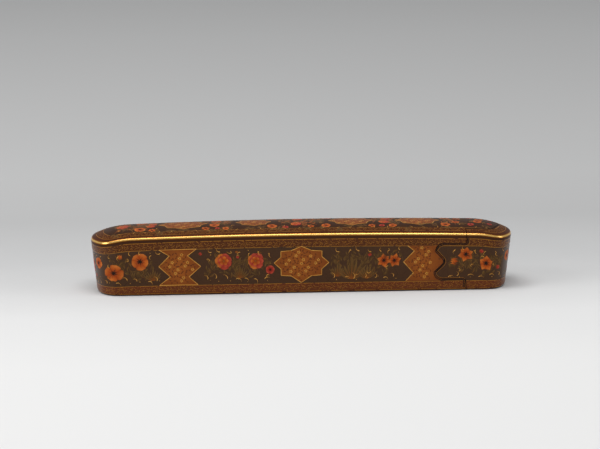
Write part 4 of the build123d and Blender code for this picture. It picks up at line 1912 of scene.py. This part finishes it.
class PenBox:
    """The whole box: its shells, its painting and the finish of what is inside."""

    PRISM_HALF = 40.0
    SHELL_ANGLE = 38.0
    PAINT_ANGLE = 40.0

    def __init__(self, frame: dict) -> None:
        """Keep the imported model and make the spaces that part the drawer's end."""
        self.frame = frame
        self.form = BoxForm()
        self.seam = Seam()
        self.zones: dict[str, bpy.types.Object] = {}

    def zone(self, grow: float, name: str) -> bpy.types.Object:
        """Make the space of the drawer's end.

        Args:
            grow: Distance by which the side seam is moved towards the left.
            name: Name of the object.

        Returns:
            A closed mesh.
        """
        seam = self.seam
        left = seam.seam_x - grow
        line = [(x - grow, z) for x, z in seam.side_line()]
        line[0] = (left, line[0][1])
        outline = [(left, seam.high)] + line + [(left, -seam.high), (seam.far, -seam.high)]
        prism = self.prism(name, outline + [(seam.far, seam.high)], upright=False)
        tongue = self.prism(name + "_tongue", seam.roof_line(-grow), upright=True)
        cut(prism, tongue, keep_inside=False)
        discard(tongue)
        return prism

    def prism(self, name: str, corners: Path, upright: bool) -> bpy.types.Object:
        """Make a closed prism on an outline.

        Args:
            name: Name of the object.
            corners: Corners of the outline.
            upright: True for an outline in the plan, False for one seen from the side.

        Returns:
            The mesh object.
        """
        if upright:
            ends = (self.seam.rim_height, self.seam.high + 10)
            points = [Vector((a, b, end)) for end in ends for a, b in corners]
        else:
            ends = (-self.PRISM_HALF, self.PRISM_HALF)
            points = [Vector((a, end, b)) for end in ends for a, b in corners]
        count = len(corners)
        faces = [list(range(count)), list(range(2 * count - 1, count - 1, -1))]
        faces += [[k, count + k, count + (k + 1) % count, (k + 1) % count] for k in range(count)]
        prism = new_mesh(name, points, faces)
        tidy_normals(prism)
        return prism

    def shells(self) -> None:
        """Make the sleeve and the drawer's end, and let them stand for their nodes."""
        maker = ShellMaker(self.form)
        seam = self.seam
        outer = maker.body(Skin("sleeve"))
        end_cap = outer.copy()
        end_cap.data = outer.data.copy()
        end_cap.name = "drawer_end"
        bpy.context.scene.collection.objects.link(end_cap)
        cavity = maker.body(Skin("cavity", seam.wall, seam.wall, seam.wall, outside=False))
        tray_skin = Skin("tray_space", seam.tray_inset, seam.tray_inset, 0.0, seam.rim_height, False)
        tray = maker.body(tray_skin)
        self.zones["case"] = self.zone(seam.gap / 2, "zone_case")
        self.zones["drawer"] = self.zone(-seam.gap / 2, "zone_cap")
        cut(outer, cavity, keep_inside=False)
        cut(outer, self.zones["case"], keep_inside=False)
        cut(end_cap, self.zones["drawer"], keep_inside=True)
        cut(end_cap, tray, keep_inside=False)
        discard(cavity, tray)
        lacquer = LacquerFinish().build()
        for piece, node, body in ((outer, "case_shell", "case"), (end_cap, "drawer_end_cap", "drawer")):
            paint_over(piece, lacquer)
            smooth(piece, self.SHELL_ANGLE)
            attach(piece, body)
            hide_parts(node)
            LOG.info("%s: %d faces", piece.name, len(piece.data.polygons))

    def painting(self) -> None:
        """Paint the box and lay each paint on its part."""
        painter = Painter(self.seam)
        wall_chart = WallChart(self.form)
        roof_chart = RoofChart(self.form)
        walls = WallPainting(painter, wall_chart)
        walls.side(mirror=False)
        walls.side(mirror=True)
        walls.ends()
        walls.scroll(wall_chart, 1.5, 5.1, 3.3)
        walls.scroll(wall_chart, 26.7, 30.0, 3.1)
        walls.scroll(RimChart(wall_chart, roof_chart), 3.3, 6.7, 3.2)
        RoofPainting(painter, roof_chart).paint()
        BasePainting(painter).paint()
        for pigment in Pigment:
            material = PAINTS[pigment].build(f"{pigment.value}_paint")
            for part in ("case", "drawer"):
                self.lay(painter, pigment, part, material)

    def lay(self, painter: Painter, pigment: Pigment, part: str, finish: bpy.types.Material) -> None:
        """Make the piece of one paint on one part.

        Args:
            painter: Painter that holds the strokes.
            pigment: The paint.
            part: The part, case or drawer.
            finish: The paint's material.
        """
        pieces = []
        if (pigment, part) in painter.stores:
            pieces.append(painter.stores[pigment, part].mesh(f"{part}_{pigment.value}"))
        for shared in ("both", "both_case") if part == "case" else ("both",):
            if (pigment, shared) in painter.stores:
                crossing = painter.stores[pigment, shared].mesh(f"{part}_{pigment.value}_cut")
                cut(crossing, self.zones[part], keep_inside=part == "drawer", overlaps=True)
                if crossing.data.polygons:
                    pieces.append(crossing)
                else:
                    discard(crossing)
        if not pieces:
            return
        piece = pieces[0]
        activate(piece)
        for other in pieces[1:]:
            other.select_set(True)
        if len(pieces) > 1:
            bpy.ops.object.join()
        piece.name = f"{part}_{pigment.value}_paint"
        tidy_normals(piece)
        paint_over(piece, finish)
        smooth(piece, self.PAINT_ANGLE)
        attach(piece, part)
        LOG.info("%s: %d faces", piece.name, len(piece.data.polygons))

    def inside(self) -> None:
        """Dress the tray and what lies in it."""
        made = {name: finish.build(name) for name, finish in INNER_FINISHES.items()}
        slots = {row["node"]: row["material_slot"] for row in self.frame["record"]["subparts"]}
        for node, thing in self.frame["nodes"].items():
            if slots[node] in made:
                paint_over(thing, made[slots[node]])
                LOG.info("%s: %s", node, slots[node])
        SilkWad().build(made["silk"])

    def clear(self) -> None:
        """Remove the cutting tools."""
        discard(*self.zones.values())


@dataclass(frozen=True)
class Studio:
    """Camera, lights and floor."""

    azimuth: float = -5.04
    elevation: float = 12.5
    distance: float = 1700.0
    pixels_per_mm: float = 1.8
    image_width: float = 600.0
    image_middle: Point2 = (300.0, 224.5)
    box_middle: Point2 = (302.0, 255.7)
    target_height: float = 17.0
    sensor: float = 36.0
    clip_start: float = 0.05
    floor_size: float = 8.0
    floor_level: float = -0.0001
    sky: Colour = (0.80, 0.81, 0.82)
    sky_strength: float = 0.42
    # painted shade: the floor's colour falls from pale near the box to grey behind it, in place of light
    # fading on a backdrop
    floor_tones_with_painted_shade: tuple[tuple[float, Colour], ...] = (
        (0.0, (0.740, 0.735, 0.730)),
        (0.215, (0.747, 0.744, 0.738)),
        (0.2675, (0.715, 0.713, 0.710)),
        (0.335, (0.530, 0.530, 0.530)),
        (0.3925, (0.464, 0.464, 0.464)),
        (0.465, (0.508, 0.508, 0.507)),
        (0.775, (0.557, 0.557, 0.555)),
    )

    def camera(self) -> None:
        """Place the camera so that the box falls where the photograph has it."""
        a, e = math.radians(self.azimuth), math.radians(self.elevation)
        back = Vector((math.sin(a) * math.cos(e), -math.cos(a) * math.cos(e), math.sin(e)))
        right = Vector((math.cos(a), math.sin(a), 0.0))
        up = right.cross(-back)
        focal = self.pixels_per_mm * self.distance
        aim = -back + up * (self.box_middle[1] - self.image_middle[1]) / focal
        aim -= right * (self.box_middle[0] - self.image_middle[0]) / focal
        data = bpy.data.cameras.new("camera")
        data.sensor_width = self.sensor
        data.lens = focal * self.sensor / self.image_width
        data.clip_start = self.clip_start
        thing = bpy.data.objects.new("camera", data)
        bpy.context.scene.collection.objects.link(thing)
        thing.location = Vector((0.0, 0.0, self.target_height * MM)) + back * self.distance * MM
        thing.rotation_euler = aim.to_track_quat("-Z", "Y").to_euler()
        bpy.context.scene.camera = thing

    def lamp(self, name: str, place: Point3, size: Point2, power: float, aim: Point3) -> None:
        """Add a soft lamp.

        Args:
            name: Name of the lamp.
            place: Place in metres.
            size: Width and height of the lamp in metres.
            power: Power in watts.
            aim: Point that it faces, in metres.
        """
        data = bpy.data.lights.new(name, "AREA")
        data.shape = "RECTANGLE"
        data.size, data.size_y = size
        data.energy = power
        thing = bpy.data.objects.new(name, data)
        bpy.context.scene.collection.objects.link(thing)
        thing.location = place
        thing.rotation_euler = (Vector(aim) - thing.location).to_track_quat("-Z", "Y").to_euler()

    def lights(self) -> None:
        """Add the lamps and the even light all round."""
        self.lamp("overhead", (-0.15, -0.25, 1.5), (1.5, 0.7), 17.0, (0.0, 0.0, 0.0))
        self.lamp("left_side", (-1.5, -0.5, 0.7), (0.9, 1.1), 11.0, (0.0, 0.0, 0.05))
        self.lamp("right_side", (1.6, -0.4, 0.6), (0.6, 1.0), 4.5, (0.0, 0.0, 0.05))
        world = bpy.data.worlds.new("studio")
        world.use_nodes = True
        background = world.node_tree.nodes["Background"]
        background.inputs["Color"].default_value = (*self.sky, 1.0)
        background.inputs["Strength"].default_value = self.sky_strength
        bpy.context.scene.world = world

    def floor(self) -> None:
        """Add the pale floor, its colour darkened towards the back as painted shade."""
        deselect()
        bpy.ops.mesh.primitive_plane_add(size=self.floor_size, location=(0.0, 0.0, self.floor_level))
        floor = bpy.context.active_object
        floor.name = "floor"
        bpy.ops.object.transform_apply(location=True, rotation=False, scale=True)
        kit = Nodes("studio_paper")
        share = kit.math("DIVIDE", kit.math("ADD", kit.split(kit.place())[1], 0.6), 2.0)
        grain = kit.times(kit.math("SUBTRACT", kit.noise(kit.place(), 30.0), 0.5), 0.01)
        kit.surface(kit.ramp(kit.math("ADD", share, grain), list(self.floor_tones_with_painted_shade)), 0.9)
        paint_over(floor, kit.material)
        floor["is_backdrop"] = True

    def view_settings(self) -> None:
        """Show colours as they are written."""
        bpy.context.scene.view_settings.view_transform = "Standard"


def corners(bounds) -> list[list[float]]:
    """Return a box's corners as plain lists."""
    return [[float(value) for value in corner] for corner in bounds]


def main() -> None:
    """Build the box and its studio."""
    logging.basicConfig(level=logging.INFO, format="%(name)s: %(message)s")
    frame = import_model()
    cad_bounds = corners(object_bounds())
    studio = Studio()
    studio.camera()
    studio.lights()
    studio.floor()
    studio.view_settings()
    box = PenBox(frame)
    box.shells()
    box.painting()
    box.inside()
    box.clear()
    {"cad": cad_bounds, "visual": corners(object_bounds())}


if __name__ == "__main__":
    main()
